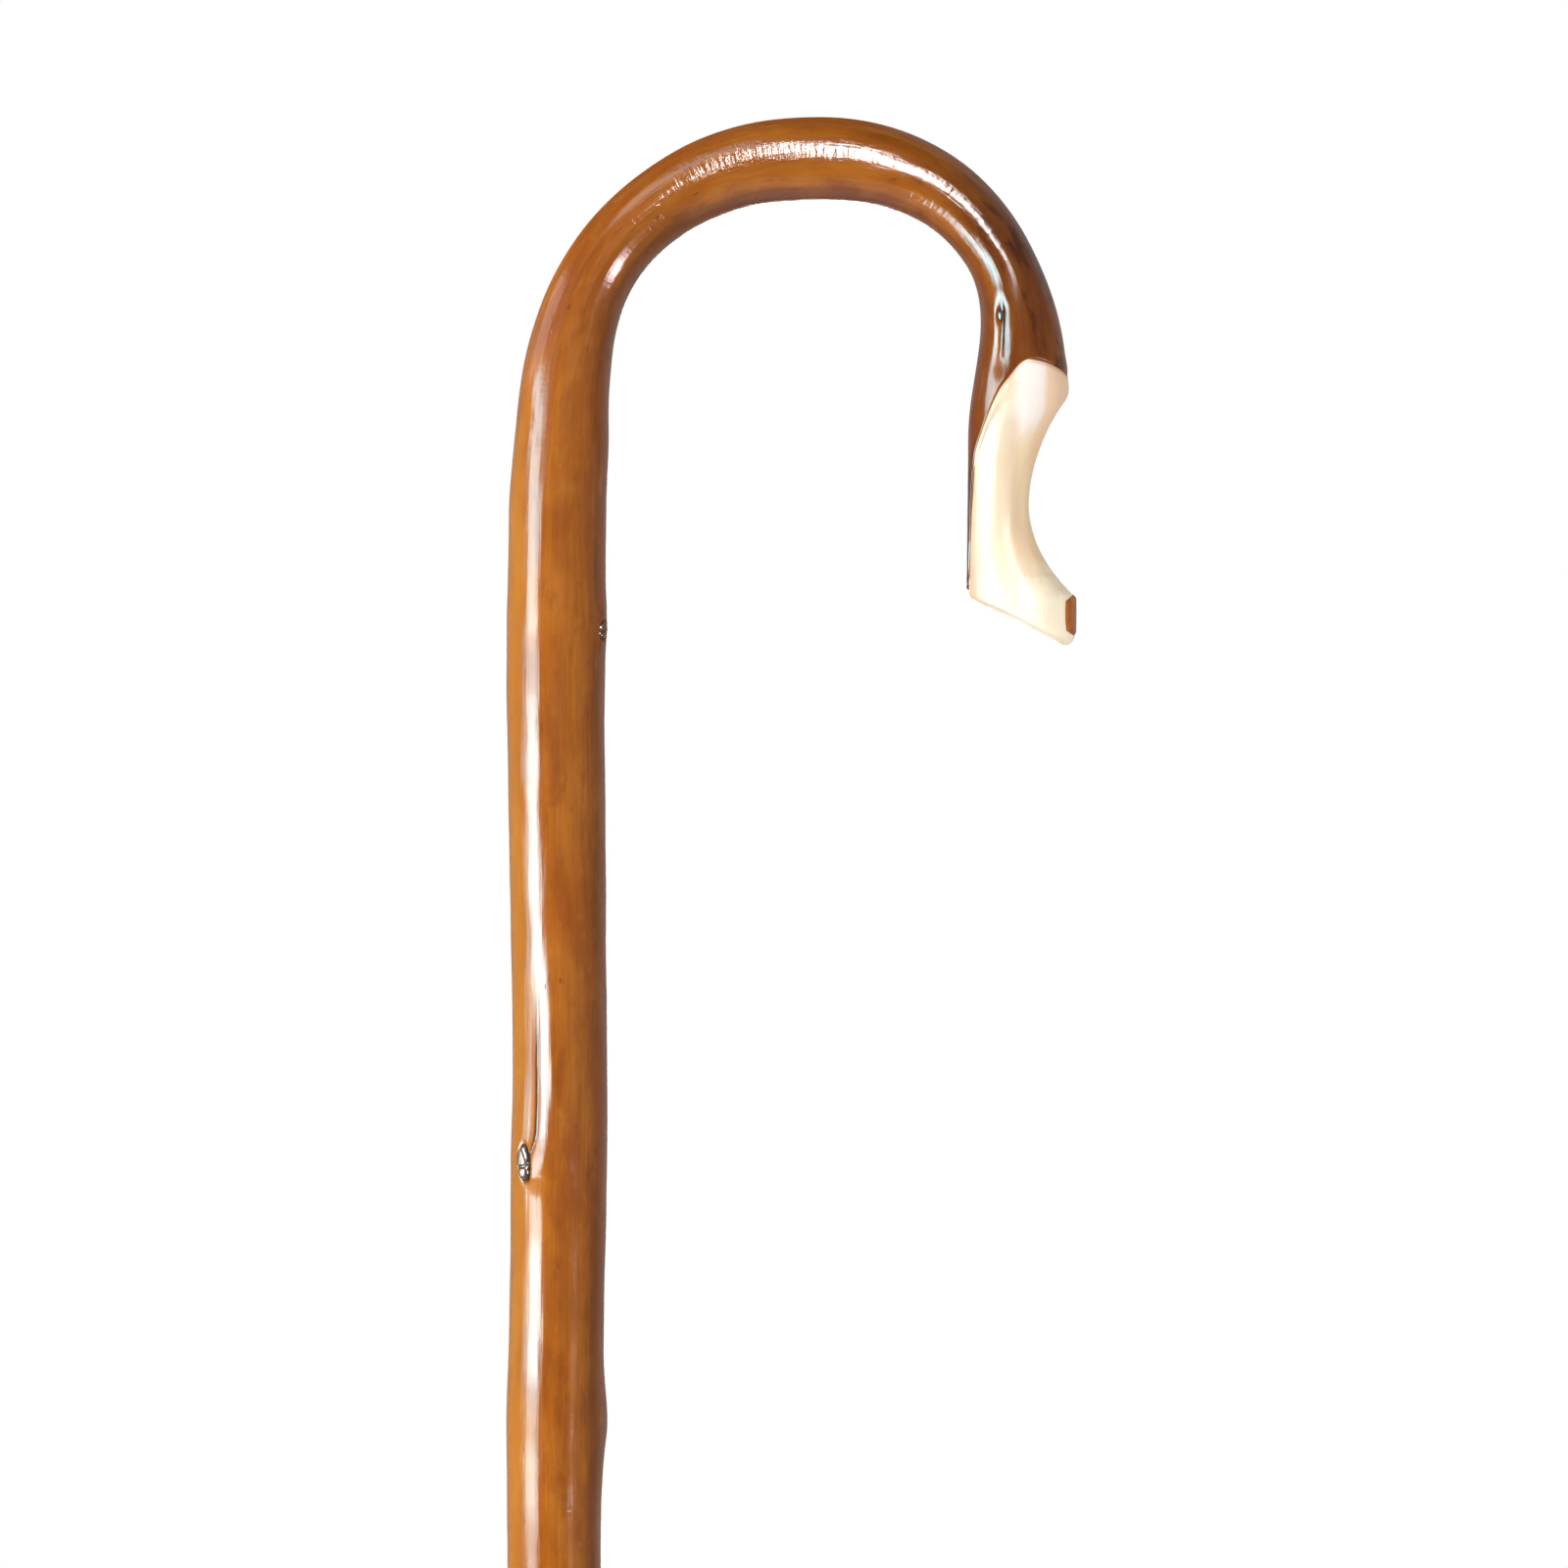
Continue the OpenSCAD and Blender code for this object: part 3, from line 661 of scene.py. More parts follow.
def bare_wood_material():
    """Pale wood with rings, pores and fibres, and zones of colour on the carved nose: a painted reflection
    below the peel, painted shade across its middle and painted light at the toe.
    """
    mat, tree, shader = new_material("carved_wood")
    at = attribute(tree, "grain", "Vector")
    wobble = noise(tree, at, (90, 90, 18), 3, 0.5)
    blush = noise(tree, at, (60, 60, 30), 2, 0.5)
    pith = add(
        tree, "ShaderNodeVectorMath", {0: at, 1: (0.0012, 0.0016, 0.0)}, operation="ADD"
    ).outputs[0]
    rings = growth(tree, pith, "SAW", 118.0, 2.2, {"Detail Scale": 0.35, "Detail Roughness": 0.5})
    pores = noise(tree, at, (1700, 1700, 60), 2, 0.6)
    fibres = noise(tree, at, (700, 700, 14), 3, 0.6)
    colour = blend(tree, ramp(tree, wobble, 0.3, 0.7), srgb(246, 224, 188), srgb(251, 237, 208))
    colour = wash(tree, colour, blush, 0.42, 0.7, 0.6, srgb(243, 206, 174))
    colour = wash(tree, colour, rings, 0.5, 1.0, 0.3, srgb(222, 184, 138))
    colour = wash(tree, colour, fibres, 0.5, 0.75, 0.24, srgb(224, 188, 144))
    early = times(tree, ramp(tree, rings, 0.35, 0.02), ramp(tree, pores, 0.52, 0.68))
    colour = paint(tree, colour, early, 0.35, srgb(190, 142, 96))
    axes = add(tree, "ShaderNodeSeparateXYZ", {0: at})
    outward, station = axes.outputs["X"], axes.outputs["Z"]
    # Painted reflection: a pink-white sheen on the upper nose below the peeled edge.
    painted_reflection_top = between(tree, station, FRONT_END + 27, FRONT_END + 18)
    painted_reflection_top = times(tree, painted_reflection_top, ramp(tree, outward, -0.004, 0.0))
    colour = paint(tree, colour, painted_reflection_top, 0.85, srgb(255, 243, 238))
    above_toe = between(tree, station, FRONT_END + 60, FRONT_END + 48)
    slant = between(tree, station, FRONT_END + 14, FRONT_END + 26, 0, 0.0042)
    scooped = ramp(tree, plus(tree, outward, slant), 0.0052, 0.0068)
    scooped = times(tree, scooped, above_toe)
    colour = paint(tree, colour, scooped, 0.7, srgb(248, 200, 148))
    # Painted shade: the middle and right of the nose are tan.
    middle = ramp(tree, outward, -0.0095, -0.0055)
    middle = times(tree, middle, between(tree, station, FRONT_END + 16, FRONT_END + 28))
    middle = times(tree, middle, above_toe)
    colour = paint(tree, colour, middle, 0.55, srgb(236, 206, 162))
    # Painted shade: a darker band down the nose, left of its middle.
    hollow = times(tree, ramp(tree, outward, -0.0085, -0.006), ramp(tree, outward, 0.0005, -0.0025))
    hollow = times(tree, hollow, between(tree, station, FRONT_END + 12, FRONT_END + 20))
    hollow = times(tree, hollow, between(tree, station, FRONT_END + 54, FRONT_END + 44))
    colour = paint(tree, colour, hollow, 0.6, srgb(209, 184, 152))
    # Painted light: the wood is paler towards the toe.
    toe = between(tree, station, FRONT_END + 56, FRONT_END + 66)
    toe = times(tree, toe, ramp(tree, outward, -0.008, 0.001))
    colour = paint(tree, colour, toe, 0.65, srgb(255, 245, 222))
    colour = paint(tree, colour, attribute(tree, "end", "Fac"), 0.2, srgb(222, 184, 136))
    colour = wash(tree, colour, attribute(tree, "edge", "Fac"), 0.15, 1.0, 0.5, srgb(206, 140, 92))
    relief = maths(tree, "SUBTRACT", fibres, times(tree, early, 0.8))
    feed(tree, shader, {
        "Base Color": colour,
        "Roughness": ramp(tree, fibres, 0.35, 0.7, 0.46, 0.58),
        "Normal": bump(tree, relief, 0.3, 0.0003),
        "Coat Weight": 0.3,
        "Coat Roughness": 0.34,
        "Coat Normal": bump(tree, fibres, 0.1, 0.0002),
    })
    return mat


def knot_material():
    """The cut face of a shoot: rings, grit, and painted shade on its rim and in its split, under gloss
    varnish.
    """
    mat, tree, shader = new_material("trimmed_shoot")
    at = attribute(tree, "grain", "Vector")
    dark = attribute(tree, "dark", "Fac")
    rings = growth(tree, at, "SIN", 430.0, 1.6, {"Detail Scale": 1.4})
    grit = noise(tree, at, (2600, 2600, 2600), 3, 0.6)
    colour = blend(tree, ramp(tree, rings, 0.2, 0.8), srgb(112, 60, 24), srgb(146, 84, 34))
    colour = wash(tree, colour, grit, 0.5, 0.75, 0.5, srgb(78, 42, 20))
    # Painted shade from the dark attribute, on the rim and in the split.
    colour = wash(tree, colour, dark, 0.1, 0.9, 0.95, srgb(24, 18, 13))
    feed(tree, shader, {
        "Base Color": colour,
        "Roughness": ramp(tree, grit, 0.3, 0.7, 0.3, 0.45),
        "Normal": bump(tree, plus(tree, rings, grit), 0.3, 0.0001),
        "Coat Weight": 1.0,
        "Coat Roughness": 0.08,
        "Coat IOR": 1.6,
        "Coat Normal": bump(tree, grit, 0.05, 0.0001),
    })
    return mat


def metal_material(name, bright, dull, rough, lines):
    """Turned metal, cloudy, scratched, and dark where the worn attribute is high."""
    mat, tree, shader = new_material(name)
    at = add(tree, "ShaderNodeTexCoord").outputs["Object"]
    turning = noise(tree, at, (40, 40, lines), 3, 0.7)
    cloud = noise(tree, at, (160, 160, 120), 4, 0.6, 0.6)
    worn = attribute(tree, "worn", "Fac")
    colour = blend(tree, ramp(tree, cloud, 0.42, 0.72), bright, dull)
    colour = wash(tree, colour, turning, 0.3, 0.75, 0.22, dull)
    colour = wash(tree, colour, worn, 0.0, 1.0, 0.75, srgb(66, 50, 32))
    scratches = noise(tree, at, (900, 900, 120), 2, 0.5)
    level = ramp(tree, cloud, 0.35, 0.75, rough, rough + 0.16)
    relief = plus(tree, turning, times(tree, scratches, 0.5))
    feed(tree, shader, {
        "Base Color": colour,
        "Metallic": 1.0,
        "Roughness": plus(tree, level, times(tree, worn, 0.2)),
        "Normal": bump(tree, relief, 0.25, 0.00012),
    })
    return mat


BARK = bark_material()
WOOD = bare_wood_material()
KNOT = knot_material()
BRASS = metal_material("turned_brass", srgb(214, 172, 92), srgb(158, 116, 54), 0.2, 3200)
STEEL = metal_material("turned_steel", srgb(158, 157, 153), srgb(108, 105, 100), 0.32, 2600)


# The bark, from the ferrule to its cut edge on the nose
SIDES, STATION_STEP, FINE_STEP = 96, 2.2, 0.5
WOOD_LIFT, BARK_GAP = 0.65, 0.25
BOW_SKEW, BOW_BELLY = 0.85, 0.65
EDGE_DROP = BARK_T - WOOD_LIFT - 0.1

# The rounded lower edge, as rows under the surface and up from the sleeve
LOWER_EDGE = ((1.9, 0.0), (0.9, 0.0), (0.45, 0.0), (0.12, 0.12))


def bark_surface(s, b, inset):
    """Points on the bark, or under it by inset, with the unevenness that the surface has."""
    height, dark = knot_shape(s, b)
    calm = ease((s - SLEEVE_TOP) / 30)
    rough = calm * (0.16 * broad(s, b) + 0.045 * ripple(s, b) + 0.012 * fibre(s, b))
    a = np.radians(b)
    u, v = rod(s, b, inset)
    skew = -BOW_SKEW * ease((s - BACK_END + 35) / 45) * ease((FRONT_END - 16 - s) / 22) * np.sin(2 * a)
    belly = BOW_BELLY * np.exp(-(((s - BACK_END) / 17) ** 2)) * np.maximum(-np.cos(a), 0) ** 2
    more = height + rough + skew + belly
    return place(s, u + more * np.cos(a), v + more * np.sin(a)), dark


def stain(b):
    """How strongly the cut edge is stained: less along the strip on the inner side."""
    return 1 - 0.8 * ease((np.abs(turned(b)) - 135) / 15)


def make_bark():
    rows = []

    def add_rows(s, b, inset=0.0, edge=0.0):
        rows.append(np.broadcast_arrays(s, b, inset, edge))

    for drop, up in LOWER_EDGE:
        add_rows(SLEEVE_TOP + up, crowded_bearings(np.array([SLEEVE_TOP]), SIDES), drop, 0.4)
    shaft = packed_stations(SLEEVE_TOP, FRONT_END, STATION_STEP, FINE_STEP)
    add_rows(np.maximum(shaft, SLEEVE_TOP + 0.4)[:, None], crowded_bearings(shaft, SIDES))
    ts = np.concatenate([np.linspace(0, 0.8, 44)[1:], np.linspace(0.8, 1.0, 22)[1:]])
    b = crowded_bearings(FRONT_END + 60 * ts, SIDES)
    end = bark_end(b)
    s = FRONT_END + (end - FRONT_END) * ts[:, None]
    slope = (bark_end(b + 0.5) - bark_end(b - 0.5)) / (SHAFT_D / 2 * math.radians(1))
    left = (end - s) / np.sqrt(1 + slope**2)
    turn = np.abs(turned(b))
    bevel = 1.1 + 2.6 * ease((50 - turn) / 30) - 0.65 * ease((turn - 110) / 30)
    add_rows(s, b, ease(1 - left / bevel) * EDGE_DROP, ease(1 - left / 0.75) * stain(b))
    for drop in (0.15, 0.45):
        add_rows(s[-1:] + 0.02, b[-1:], EDGE_DROP + drop, 1.0)
    s, b, inset, edge = (np.concatenate(column) for column in zip(*rows))
    points, dark = bark_surface(s, b, inset)
    values = {
        "stick": stick_coordinates(s, b).reshape(-1, 3), "dark": dark.ravel(), "edge": edge.ravel(),
        "dull": dull_patch(s, b).ravel(),
    }
    faces = tube_faces(len(s), SIDES)[:, ::-1].tolist()
    obj = make_mesh("bark_skin", points.reshape(-1, 3), faces, values)
    finish_piece(obj, BARK, "bark", "bark")


make_bark()


# The bare wood: the whole rod, fine where the nose is carved
WOOD_SIDES = 120
FACETS, FACET_TURN, FACET_R, FACET_SHARE = 10, 1.0, 9.0, 0.36


def knife(s, b):
    """How far knife cuts bring the carved nose in: long flats with soft ridges between them."""
    step = 360 / FACETS
    wander = 5 * np.sin(s / 9.0 + 1.3) + 3 * np.sin(s / 4.1)
    off = np.radians((b - FACET_TURN + wander) % step - step / 2)
    flat = math.cos(math.radians(step / 2)) / np.cos(off)
    chop = 0.05 * np.sin(s / 2.3 + 2.0 * np.sin(np.radians(3 * b))) * np.sin(np.radians(5 * b) + s / 7.0)
    return flat - (1 + math.cos(math.radians(step / 2))) / 2, chop


def wood_points(s, b):
    """The nose's section with its knife cuts, lifted to the bark's edge beside it."""
    u, v = nose_section(s, b)
    bare = ease((s - bark_end(b) - 1.0) / RUN_IN)
    flat, chop = knife(s, b)
    reach = np.hypot(u, v) + TINY
    beside = np.exp(-((np.maximum(s - bark_end(b), 0) / 6.5) ** 2))
    inner = ease((np.abs(turned(b)) - 105) / 45) * ease((s - FRONT_END - 8) / 10)
    more = bare * (FACET_SHARE * flat * FACET_R + chop) + WOOD_LIFT * np.maximum(beside, inner)
    return u * (1 + more / reach), v * (1 + more / reach)


def toe_radius(b):
    """How far the slanted end's edge is rounded at a bearing."""
    c = np.cos(np.radians(b))
    return 1.2 + 1.6 * np.maximum(c, 0) ** 2 + 0.7 * np.maximum(-c, 0) ** 2


def make_wood():
    b = np.arange(WOOD_SIDES) * 360.0 / WOOD_SIDES
    even = np.zeros(WOOD_SIDES)
    rows = []

    def add_row(s, u, v, end=0.0, edge=0.0):
        rows.append((place(s, u, v), np.stack([u, v, s], axis=-1), end + even, edge + even))

    tenon = TENON_D / 2 * np.cos(np.radians(b)), TENON_D / 2 * np.sin(np.radians(b))
    for z in (TIP_HEIGHT + SPIGOT_LENGTH + FIT, SLEEVE_TOP):
        add_row(z + even, *tenon)
    shaft, bow = np.linspace(SLEEVE_TOP, BACK_START, 60), np.linspace(BACK_START, FRONT_END, 60)
    for z in np.concatenate([shaft, bow[1:]]):
        add_row(z + even, *rod(z + even, b, BARK_T + BARK_GAP))
    end = bark_end(b)
    for t in np.linspace(0, 1, 30)[1:]:
        s = FRONT_END + (end - FRONT_END) * t
        inset = BARK_T + BARK_GAP - (BARK_GAP + WOOD_LIFT) * ease((t - 0.8) / 0.2)
        add_row(s, *rod(s, b, inset), edge=float(t > 0.97))
    corner = toe_radius(b)
    last = toe_station(b) - corner
    for t in np.concatenate([np.linspace(0, 0.12, 16)[1:], np.linspace(0.12, 1, 90)[1:]]):
        s = end + (last - end) * t
        add_row(s, *wood_points(s, b), edge=np.exp(-(((s - end) / 0.8) ** 2)) * stain(b))
    u, v = wood_points(last, b)
    for turn in np.radians([15, 30, 45, 60, 75, 90]):
        shrink = 1 - corner * (1 - math.cos(turn)) / np.hypot(u, v)
        rim = last + corner * math.sin(turn), u * shrink, v * shrink
        add_row(*rim, end=math.sin(turn) ** 3)
    for t in np.linspace(0, 1, 15)[1:]:
        add_row(*(p + (p.mean() - p) * min(t, 0.995) for p in rim), end=1.0)
    points, grain, ends, edges = (np.concatenate(column) for column in zip(*rows))
    faces = tube_faces(len(rows), WOOD_SIDES)[:, ::-1].tolist()
    faces.append(list(range(WOOD_SIDES)))
    faces.append(list(range(len(points) - WOOD_SIDES, len(points)))[::-1])
    values = {"grain": grain / 1000, "end": ends, "edge": edges}
    obj = make_mesh("bare_wood", points, faces, values)
    finish_piece(obj, WOOD, "bare_wood", "wood_rod")


make_wood()


# The scrap of bark that the scoop left on the toe
SCRAP_TURN, SCRAP_ROUND = 36, 0.12


def make_toe_bark():
    rows, cols = 48, 48
    t = np.linspace(0, 1, rows)[:, None]
    c = np.linspace(-1, 1, cols)[None, :]
    p = 2 * t - 1
    b = SCRAP_TURN * c * np.sqrt(1 - SCRAP_ROUND * p * p)
    last = toe_station(b) - toe_radius(b) + 0.2 + 0.2 * np.sin(4 * c)
    full_r = NOSE_D / 2 - BARK_T + TOE_LIFT
    scooped = math.sqrt(2 * SCOOP_LOWER_R * (full_r - SCOOP_REACH))
    start = FRONT_END + SCOOP_DROP + scooped - 0.6 + 1.6 * c * c
    s = start + (last - start) * (1 + p * np.sqrt(1 - SCRAP_ROUND * c * c)) / 2
    u, v = wood_points(s, b)
    down = last - start
    rim = np.minimum(np.minimum((1 - np.abs(c)) * 9.0, t * down), (1 - t) * down)
    rise = 0.45 * ease(rim / 1.3) ** 0.6 - 0.12 * ease(1 - rim / 0.25)
    a = np.radians(b)
    points = place(s, u + rise * np.cos(a), v + rise * np.sin(a)).reshape(-1, 3)
    edge = ease(1 - rim / 0.5).ravel()
    stick = stick_coordinates(s - 200, b).reshape(-1, 3)
    faces = tube_faces(rows, cols, False)[:, ::-1].tolist()
    # The scrap's rim is stained, and carries a little painted shade.
    values = {"stick": stick, "dark": 0.2 * edge, "edge": 0.7 * edge}
    obj = make_mesh("toe_bark_scrap", points, faces, values)
    finish_piece(obj, BARK, "bark", "toe_bark")


make_toe_bark()


# The trimmed shoots, each a low dome in its collar of bark
def make_knot(name, at, bearing):
    wide, tall = KNOT_OVAL[name]
    rings, sides = 22, 56
    turn = np.arange(sides) * 2 * math.pi / sides
    share = np.linspace(0, 1.15, rings)[1:]
    wobble = 1 + 0.04 * np.sin(3 * turn + bearing) + 0.03 * np.sin(5 * turn)
    x = np.concatenate([[0], (share[:, None] * wide * np.cos(turn) * wobble).ravel()])
    y = np.concatenate([[0], (share[:, None] * tall * np.sin(turn) * wobble).ravel()])
    r = np.concatenate([[0], np.repeat(share, sides)])
    way = -1 if name == "knot_nose" else 1
    side = deep_side(name)
    s = at + way * y
    b = bearing + np.degrees((x - KNOT_TILT * side * y) / mean_radius(at))
    split = np.exp(-(((y + 0.2 * tall - 0.15 * side * x) / 0.42) ** 2))
    crown = 0.95 - 0.7 * r**5 - 0.6 * split - 0.18 * side * x
    if name in ("knot_side", "knot_inner"):
        crown = crown - 0.5
    if name == "knot_nose":
        crown = 0.3 * x - 0.4 - 0.3 * r**2
    a = np.radians(b)
    u, v = rod(s, b, 0)
    points = place(s, u + crown * np.cos(a), v + crown * np.sin(a))
    grain = np.stack([x, y * wide / tall, 0 * x], axis=-1) / 1000
    # Painted shade in the split across the cut face and round its rim; the nose's shoot, deep in its hole,
    # is painted dark all over.
    dark = np.maximum(0.9 * split, ease((r - 0.9 + 0.12 * side * x) / 0.2))
    if name == "knot_nose":
        dark = np.maximum(dark, 0.85)
    faces = [[0, 1 + j, 1 + (j + 1) % sides] for j in range(sides)]
    for i in range(rings - 2):
        p, q = 1 + i * sides, 1 + (i + 1) * sides
        faces += [[p + j, q + j, q + (j + 1) % sides, p + (j + 1) % sides] for j in range(sides)]
    if way > 0:
        faces = [f[::-1] for f in faces]
    obj = make_mesh(name + "_stub", points, faces, {"grain": grain, "dark": dark})
    finish_piece(obj, KNOT, "knot", name)


for knot in KNOTS:
    make_knot(*knot)


# The ferrule, turned on the shaft's axis
def lathe(name, profile, material, slot, node, sides=144):
    """A closed ring or solid turned from (radius, height, wear) points."""
    profile = np.array(profile, float)
    turn = np.arange(sides) * 2 * math.pi / sides
    r, z = profile[:, 0][:, None], profile[:, 1][:, None]
    points = np.stack([r * np.cos(turn), r * np.sin(turn), z + 0 * turn], axis=-1).reshape(-1, 3)
    worn = np.repeat(profile[:, 2], sides)
    faces = tube_faces(len(profile), sides).tolist()
    obj = make_mesh(name, points, faces, {"worn": worn})
    finish_piece(obj, material, slot, node)


def rounded(corners, radius, steps=5):
    """A profile with its corners rounded, cut into short stretches for even wear."""
    out = []
    for i, (x, z, wear) in enumerate(corners):
        p = np.array([x, z])
        if i in (0, len(corners) - 1):
            out.append((x, z, wear))
            continue
        a, b = np.array(corners[i - 1][:2]) - p, np.array(corners[i + 1][:2]) - p
        cut = min(radius, np.linalg.norm(a) * 0.45, np.linalg.norm(b) * 0.45)
        a, b = a / np.linalg.norm(a) * cut, b / np.linalg.norm(b) * cut
        for t in np.linspace(0, 1, steps):
            q = p + a * (1 - t) ** 2 + b * t**2
            out.append((q[0], q[1], wear))
    return out


wall_r, bore_r = SLEEVE_D / 2, TENON_D / 2 + FIT
groove_r, groove_top = wall_r - GROOVE_DEPTH, SLEEVE_TOP - GROOVE_DROP
groove_low = groove_top - GROOVE_W
sleeve_corners = [
    (bore_r, TIP_HEIGHT + 0.1, 0.6), (bore_r, TIP_HEIGHT, 0.6), (wall_r, TIP_HEIGHT, 0.5),
    (wall_r, TIP_HEIGHT + 2, 0.1), (wall_r, groove_low - 1, 0.0), (wall_r, groove_low, 0.1),
    (groove_r, groove_low, 0.9), (groove_r, groove_top, 0.9), (wall_r, groove_top, 0.1),
    (wall_r, groove_top + 1, 0.0), (wall_r, SLEEVE_TOP - 2, 0.0), (wall_r, SLEEVE_TOP, 0.35),
    (bore_r, SLEEVE_TOP, 0.6), (bore_r, SLEEVE_TOP - 0.1, 0.6),
]
lathe("brass_sleeve", rounded(sleeve_corners, 0.25), BRASS, "brass", "ferrule_sleeve")
foot_r, spigot_r, axis_r = wall_r - TIP_INSET, bore_r - FIT, 0.02
spigot_top = TIP_HEIGHT + SPIGOT_LENGTH
tip_corners = [
    (axis_r, 0, 0.5), (foot_r * 0.6, 0, 0.35), (foot_r - TIP_CHAMFER, 0, 0.2),
    (foot_r, TIP_CHAMFER, 0.1), (foot_r, TIP_HEIGHT - 0.8, 0.2), (foot_r, TIP_HEIGHT, 0.6),
    (spigot_r, TIP_HEIGHT, 0.6), (spigot_r, spigot_top, 0.3), (axis_r, spigot_top, 0.3),
]
lathe("steel_tip", rounded(tip_corners, 0.35), STEEL, "steel", "ferrule_tip")


def make_pin():
    """The brad's head, a little battered, with the top of its shank behind it."""
    sides = 40
    turn = np.arange(sides) * 2 * math.pi / sides
    dome = (PIN_HEAD_D**2 / 4 + PIN_HEAD_H**2) / (2 * PIN_HEAD_H)
    rows = []
    for share in np.linspace(0.02, 1, 14):
        r = PIN_HEAD_D / 2 * share
        h = math.sqrt(dome**2 - r**2) - dome + PIN_HEAD_H
        rows.append((r, h * 0.94 + 0.03 * math.sin(5 * share), share**3))
    rows += [(PIN_HEAD_D / 2, -0.15, 0.9), (0.8, -0.2, 0.9), (0.8, -6.0, 0.5), (0.02, -6.4, 0.5)]
    points, worn = [], []
    for i, (r, h, w) in enumerate(rows):
        for t in turn:
            dent = 0.05 * math.sin(2 * t + 0.7) if 3 < i < 11 else 0.0
            out = max(SLEEVE_D / 2 - 0.02 * (r * math.cos(t)) ** 2, 0) + h - dent
            points.append((r * math.cos(t), -out, SLEEVE_TOP - PIN_DROP + r * math.sin(t)))
            worn.append(w)
    faces = tube_faces(len(rows), sides).tolist()
    obj = make_mesh("brass_brad", np.array(points), faces, {"worn": np.array(worn)})
    finish_piece(obj, BRASS, "brass", "ferrule_pin")


make_pin()


# Floor, background and light
def make_floor():
    """A pale disc that fades into the white background at its rim and keeps the crook's shadow."""
    sides, reach = 96, 1.6
    turns = [2 * math.pi * i / sides for i in range(sides)]
    ring = [(reach * math.cos(a), reach * math.sin(a), 0) for a in turns]
    mesh = bpy.data.meshes.new("floor")
    mesh.from_pydata(ring, [], [list(range(sides))])
    floor = bpy.data.objects.new("floor", mesh)
    scene.collection.objects.link(floor)
    mat = bpy.data.materials.new("pale_floor")
    tree = empty_tree(mat)
    path = add(tree, "ShaderNodeLightPath")
    seen = maths(tree, "MAXIMUM", path.outputs["Is Transmission Ray"], path.outputs["Is Glossy Ray"])
    spot = add(tree, "ShaderNodeTexCoord").outputs["Object"]
    away = add(tree, "ShaderNodeVectorMath", {0: spot}, operation="LENGTH").outputs["Value"]
    fade_start, fade_end = 0.45, 1.5
    rim = ramp(tree, away, fade_start, fade_end)
    tone = blend(tree, rim, (0.8, 0.8, 0.8, 1), (0.02, 0.02, 0.02, 1))
    shown = ramp(tree, away, fade_start, fade_end, 0.5, 1.0)
    level = choose(tree, path.outputs["Is Camera Ray"], choose(tree, seen, 0.35, 0.12), shown)
    plain = add(tree, "ShaderNodeBsdfDiffuse", {"Color": tone})
    glow = add(tree, "ShaderNodeEmission", {"Color": (1, 1, 1, 1), "Strength": level})
    both = add(tree, "ShaderNodeAddShader", {0: plain.outputs[0], 1: glow.outputs[0]})
    add(tree, "ShaderNodeOutputMaterial", {"Surface": both.outputs[0]})
    mesh.materials.append(mat)


def make_world():
    """White to the camera, an even dim light on the crook, and a dim room in its varnish."""
    world = bpy.data.worlds.new("studio")
    scene.world = world
    tree = empty_tree(world)
    path = add(tree, "ShaderNodeLightPath")
    way = add(tree, "ShaderNodeSeparateXYZ", {0: add(tree, "ShaderNodeTexCoord").outputs["Generated"]})
    behind = ramp(tree, way.outputs["Y"], 0.1, 0.9, 0.012, 0.28)
    right = ramp(tree, way.outputs["X"], 0.3, 0.9, 0.0, 0.2)
    seen = maths(tree, "MAXIMUM", path.outputs["Is Glossy Ray"], path.outputs["Is Transmission Ray"])
    room = plus(tree, behind, right)
    level = choose(tree, path.outputs["Is Camera Ray"], choose(tree, seen, 0.34, room), 1.0)
    glow = add(tree, "ShaderNodeBackground", {"Color": (1, 1, 1, 1), "Strength": level})
    add(tree, "ShaderNodeOutputWorld", {"Surface": glow.outputs[0]})


LIT = np.array([0.05, 0.0, 1.12])
LAMP_AWAY, FAR_AWAY = 1.8, 20.0


def hang(name, data, spot, aim, away, diffuse, glossy):
    """Places a lamp so many degrees right of the front and up from its aim, rolled by so many degrees."""
    a, e, roll = (math.radians(angle) for angle in spot)
    obj = bpy.data.objects.new(name, data)
    way = Vector((math.sin(a) * math.cos(e), -math.cos(a) * math.cos(e), math.sin(e)))
    obj.location = Vector(aim) + away * way
    turn = Euler((math.pi / 2 - e, 0, a)).to_matrix() @ Matrix.Rotation(roll, 3, "Z")
    obj.rotation_euler = turn.to_euler()
    obj.visible_diffuse = diffuse
    obj.visible_glossy = glossy
    obj.visible_camera = False
    scene.collection.objects.link(obj)


def softbox(
    name, spot, wide, tall, bright, colour=(1, 1, 1), aim=LIT, away=LAMP_AWAY, diffuse=True, glossy=True
):
    """A square lamp, its sizes in degrees as seen from its aim."""
    data = bpy.data.lights.new(name, "AREA")
    data.shape = "RECTANGLE"
    data.size = 2 * away * math.tan(math.radians(wide / 2))
    data.size_y = 2 * away * math.tan(math.radians(tall / 2))
    data.energy = math.pi * data.size * data.size_y * bright
    data.color = colour
    hang(name, data, spot, aim, away, diffuse, glossy)


def spotlight(name, spot, across, bright, colour, aim, away=LAMP_AWAY):
    """A narrow lamp that lights a disc so many metres across, where it adds so much light."""
    data = bpy.data.lights.new(name, "SPOT")
    data.energy = 4 * math.pi**2 * away**2 * bright
    data.spot_size = 2 * math.atan(across / 2 / away)
    data.spot_blend = 0.5
    data.shadow_soft_size = 0.05
    data.color = colour
    hang(name, data, spot, aim, away, True, False)


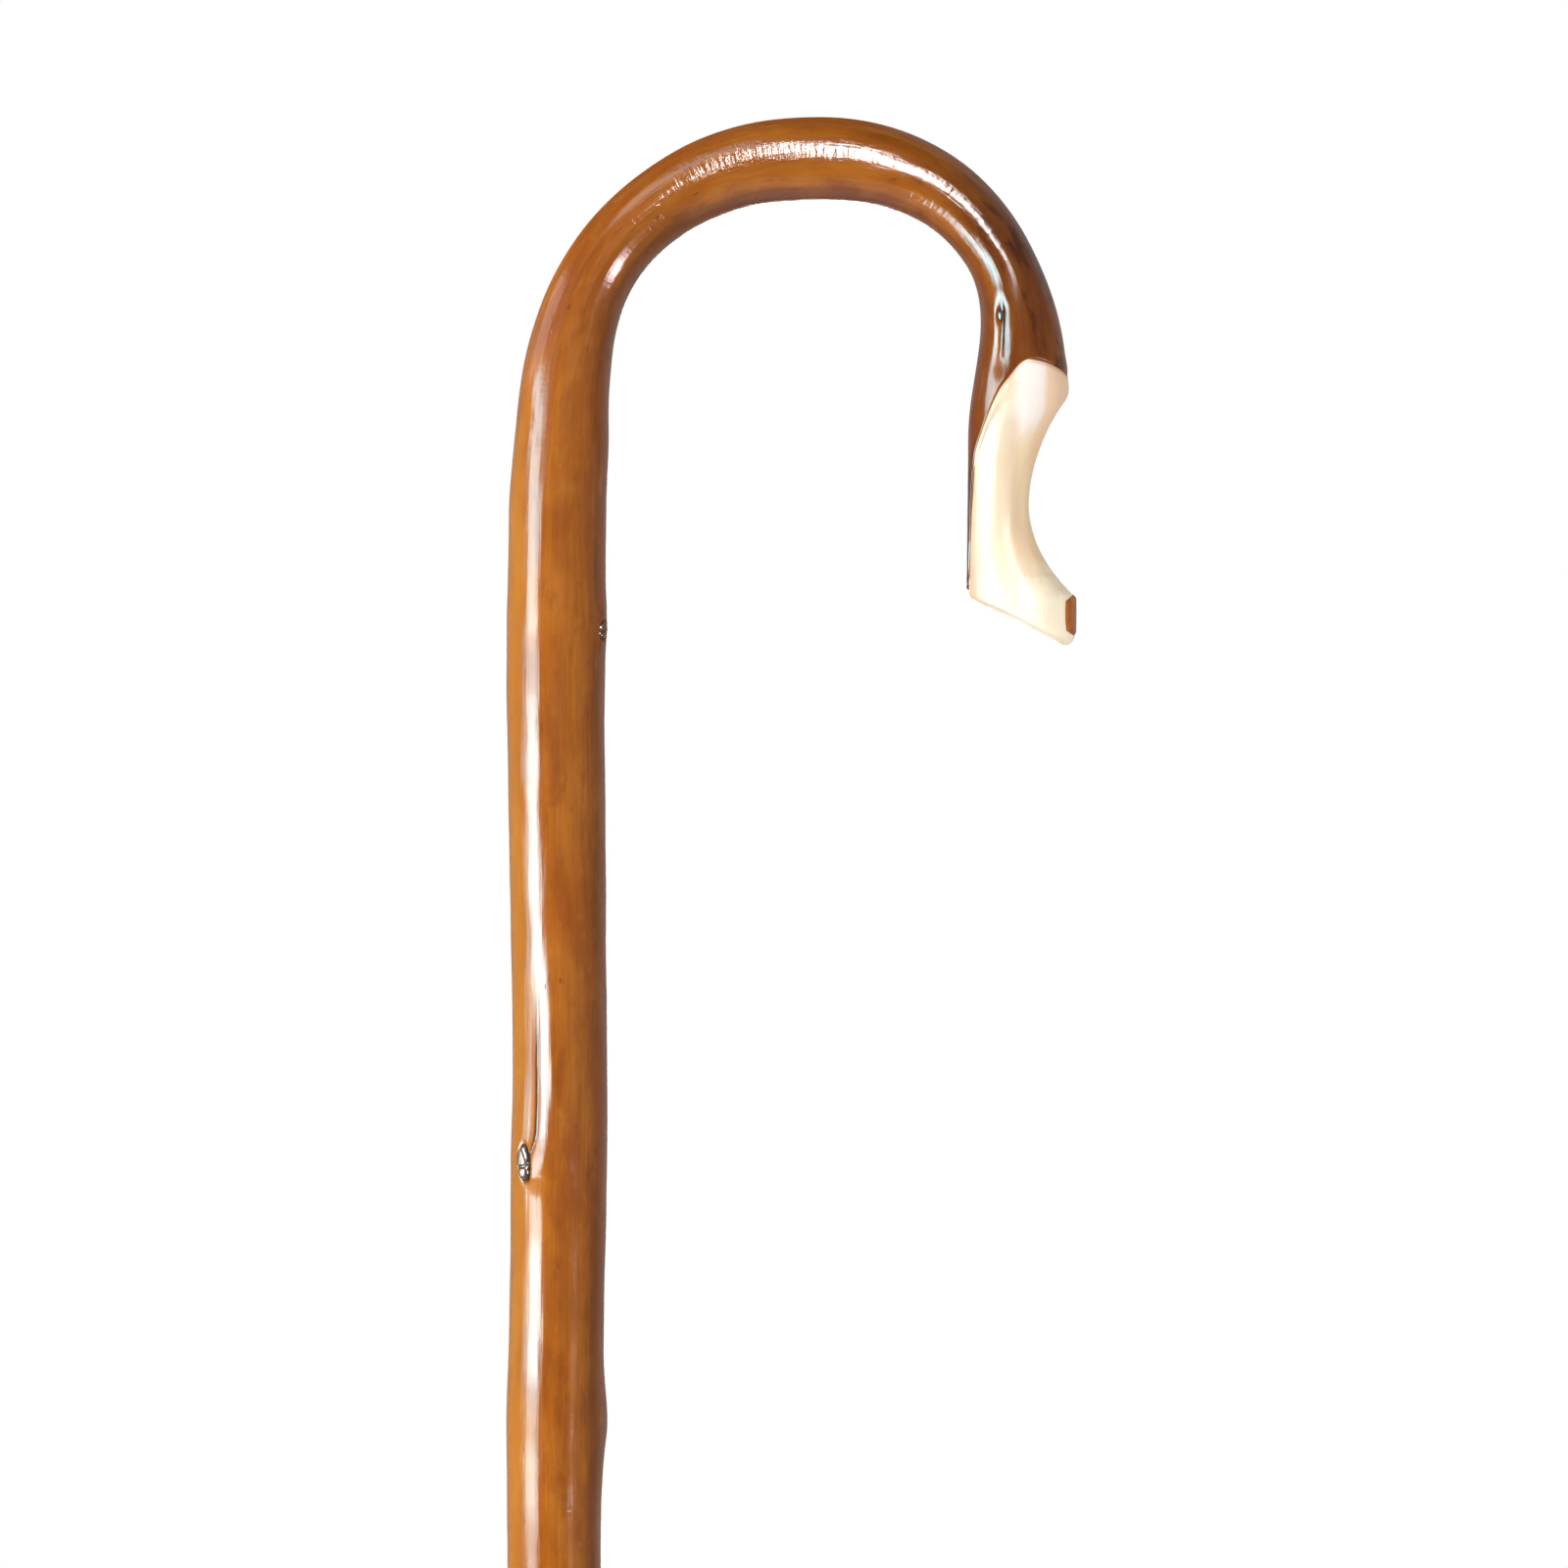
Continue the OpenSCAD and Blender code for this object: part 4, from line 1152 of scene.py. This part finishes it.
make_floor()
make_world()
DAYLIGHT = (0.6, 0.93, 1.0)
BOW_RIGHT, BOW_LEFT = (0.1, 0.0, 1.2), (0.02, 0.0, 1.18)
NOSE, TOE = (0.122, 0.0, 1.112), (0.13, -0.008, 1.086)
softbox("key", (-58, 6, 0), 50, 45, 3.6, glossy=False)
softbox("fill", (5, 2, 0), 40, 36, 1.3, glossy=False)
softbox("window_low", (-55, -18.5, 0), 27, 37, 21, DAYLIGHT, diffuse=False)
softbox("window_mid", (-57, 2.5, 0), 28, 5, 13.5, DAYLIGHT, diffuse=False)
softbox("window_high", (-61, 7, 0), 25, 4, 13, DAYLIGHT, diffuse=False)
softbox("window_top", (-76, 11, 0), 22, 4, 12, DAYLIGHT, diffuse=False)
softbox("window_side", (-75, -17.5, 0), 14, 35, 5, DAYLIGHT, diffuse=False)
softbox("over_right", (9, 31, 0), 19, 34, 42, (0.9, 0.98, 1), BOW_RIGHT, diffuse=False)
softbox("over_left", (-34, 52, 0), 36, 20, 3, DAYLIGHT, diffuse=False)
softbox("high_left", (-95, 22, 0), 40, 20, 1.8, diffuse=False)
softbox("glint", (51, -20, -22), 27, 7.5, 28, (1, 0.88, 0.92), BOW_LEFT, FAR_AWAY, diffuse=False)
softbox("back", (160, 25, 0), 40, 40, 1.6, glossy=False)
softbox("back_sheen", (180, -10, 0), 9, 26, 4, away=FAR_AWAY, diffuse=False)
spotlight("nose_fill", (48, -18, 0), 0.12, 0.41, (1, 0.95, 0.86), NOSE)
spotlight("toe_fill", (4, -40, 0), 0.06, 0.45, (1, 0.97, 0.9), TOE, 0.9)

# The camera, level and square on
LENS, SENSOR = 135, 36
CAMERA_AT = (0.0596, -1.542, 1.0449)
camera = bpy.data.objects.new("camera", bpy.data.cameras.new("camera"))
camera.data.lens = LENS
camera.data.sensor_width = SENSOR
camera.location = CAMERA_AT
camera.rotation_euler = (math.radians(90), 0, 0)
scene.collection.objects.link(camera)
scene.camera = camera
scene.view_settings.view_transform = "Standard"
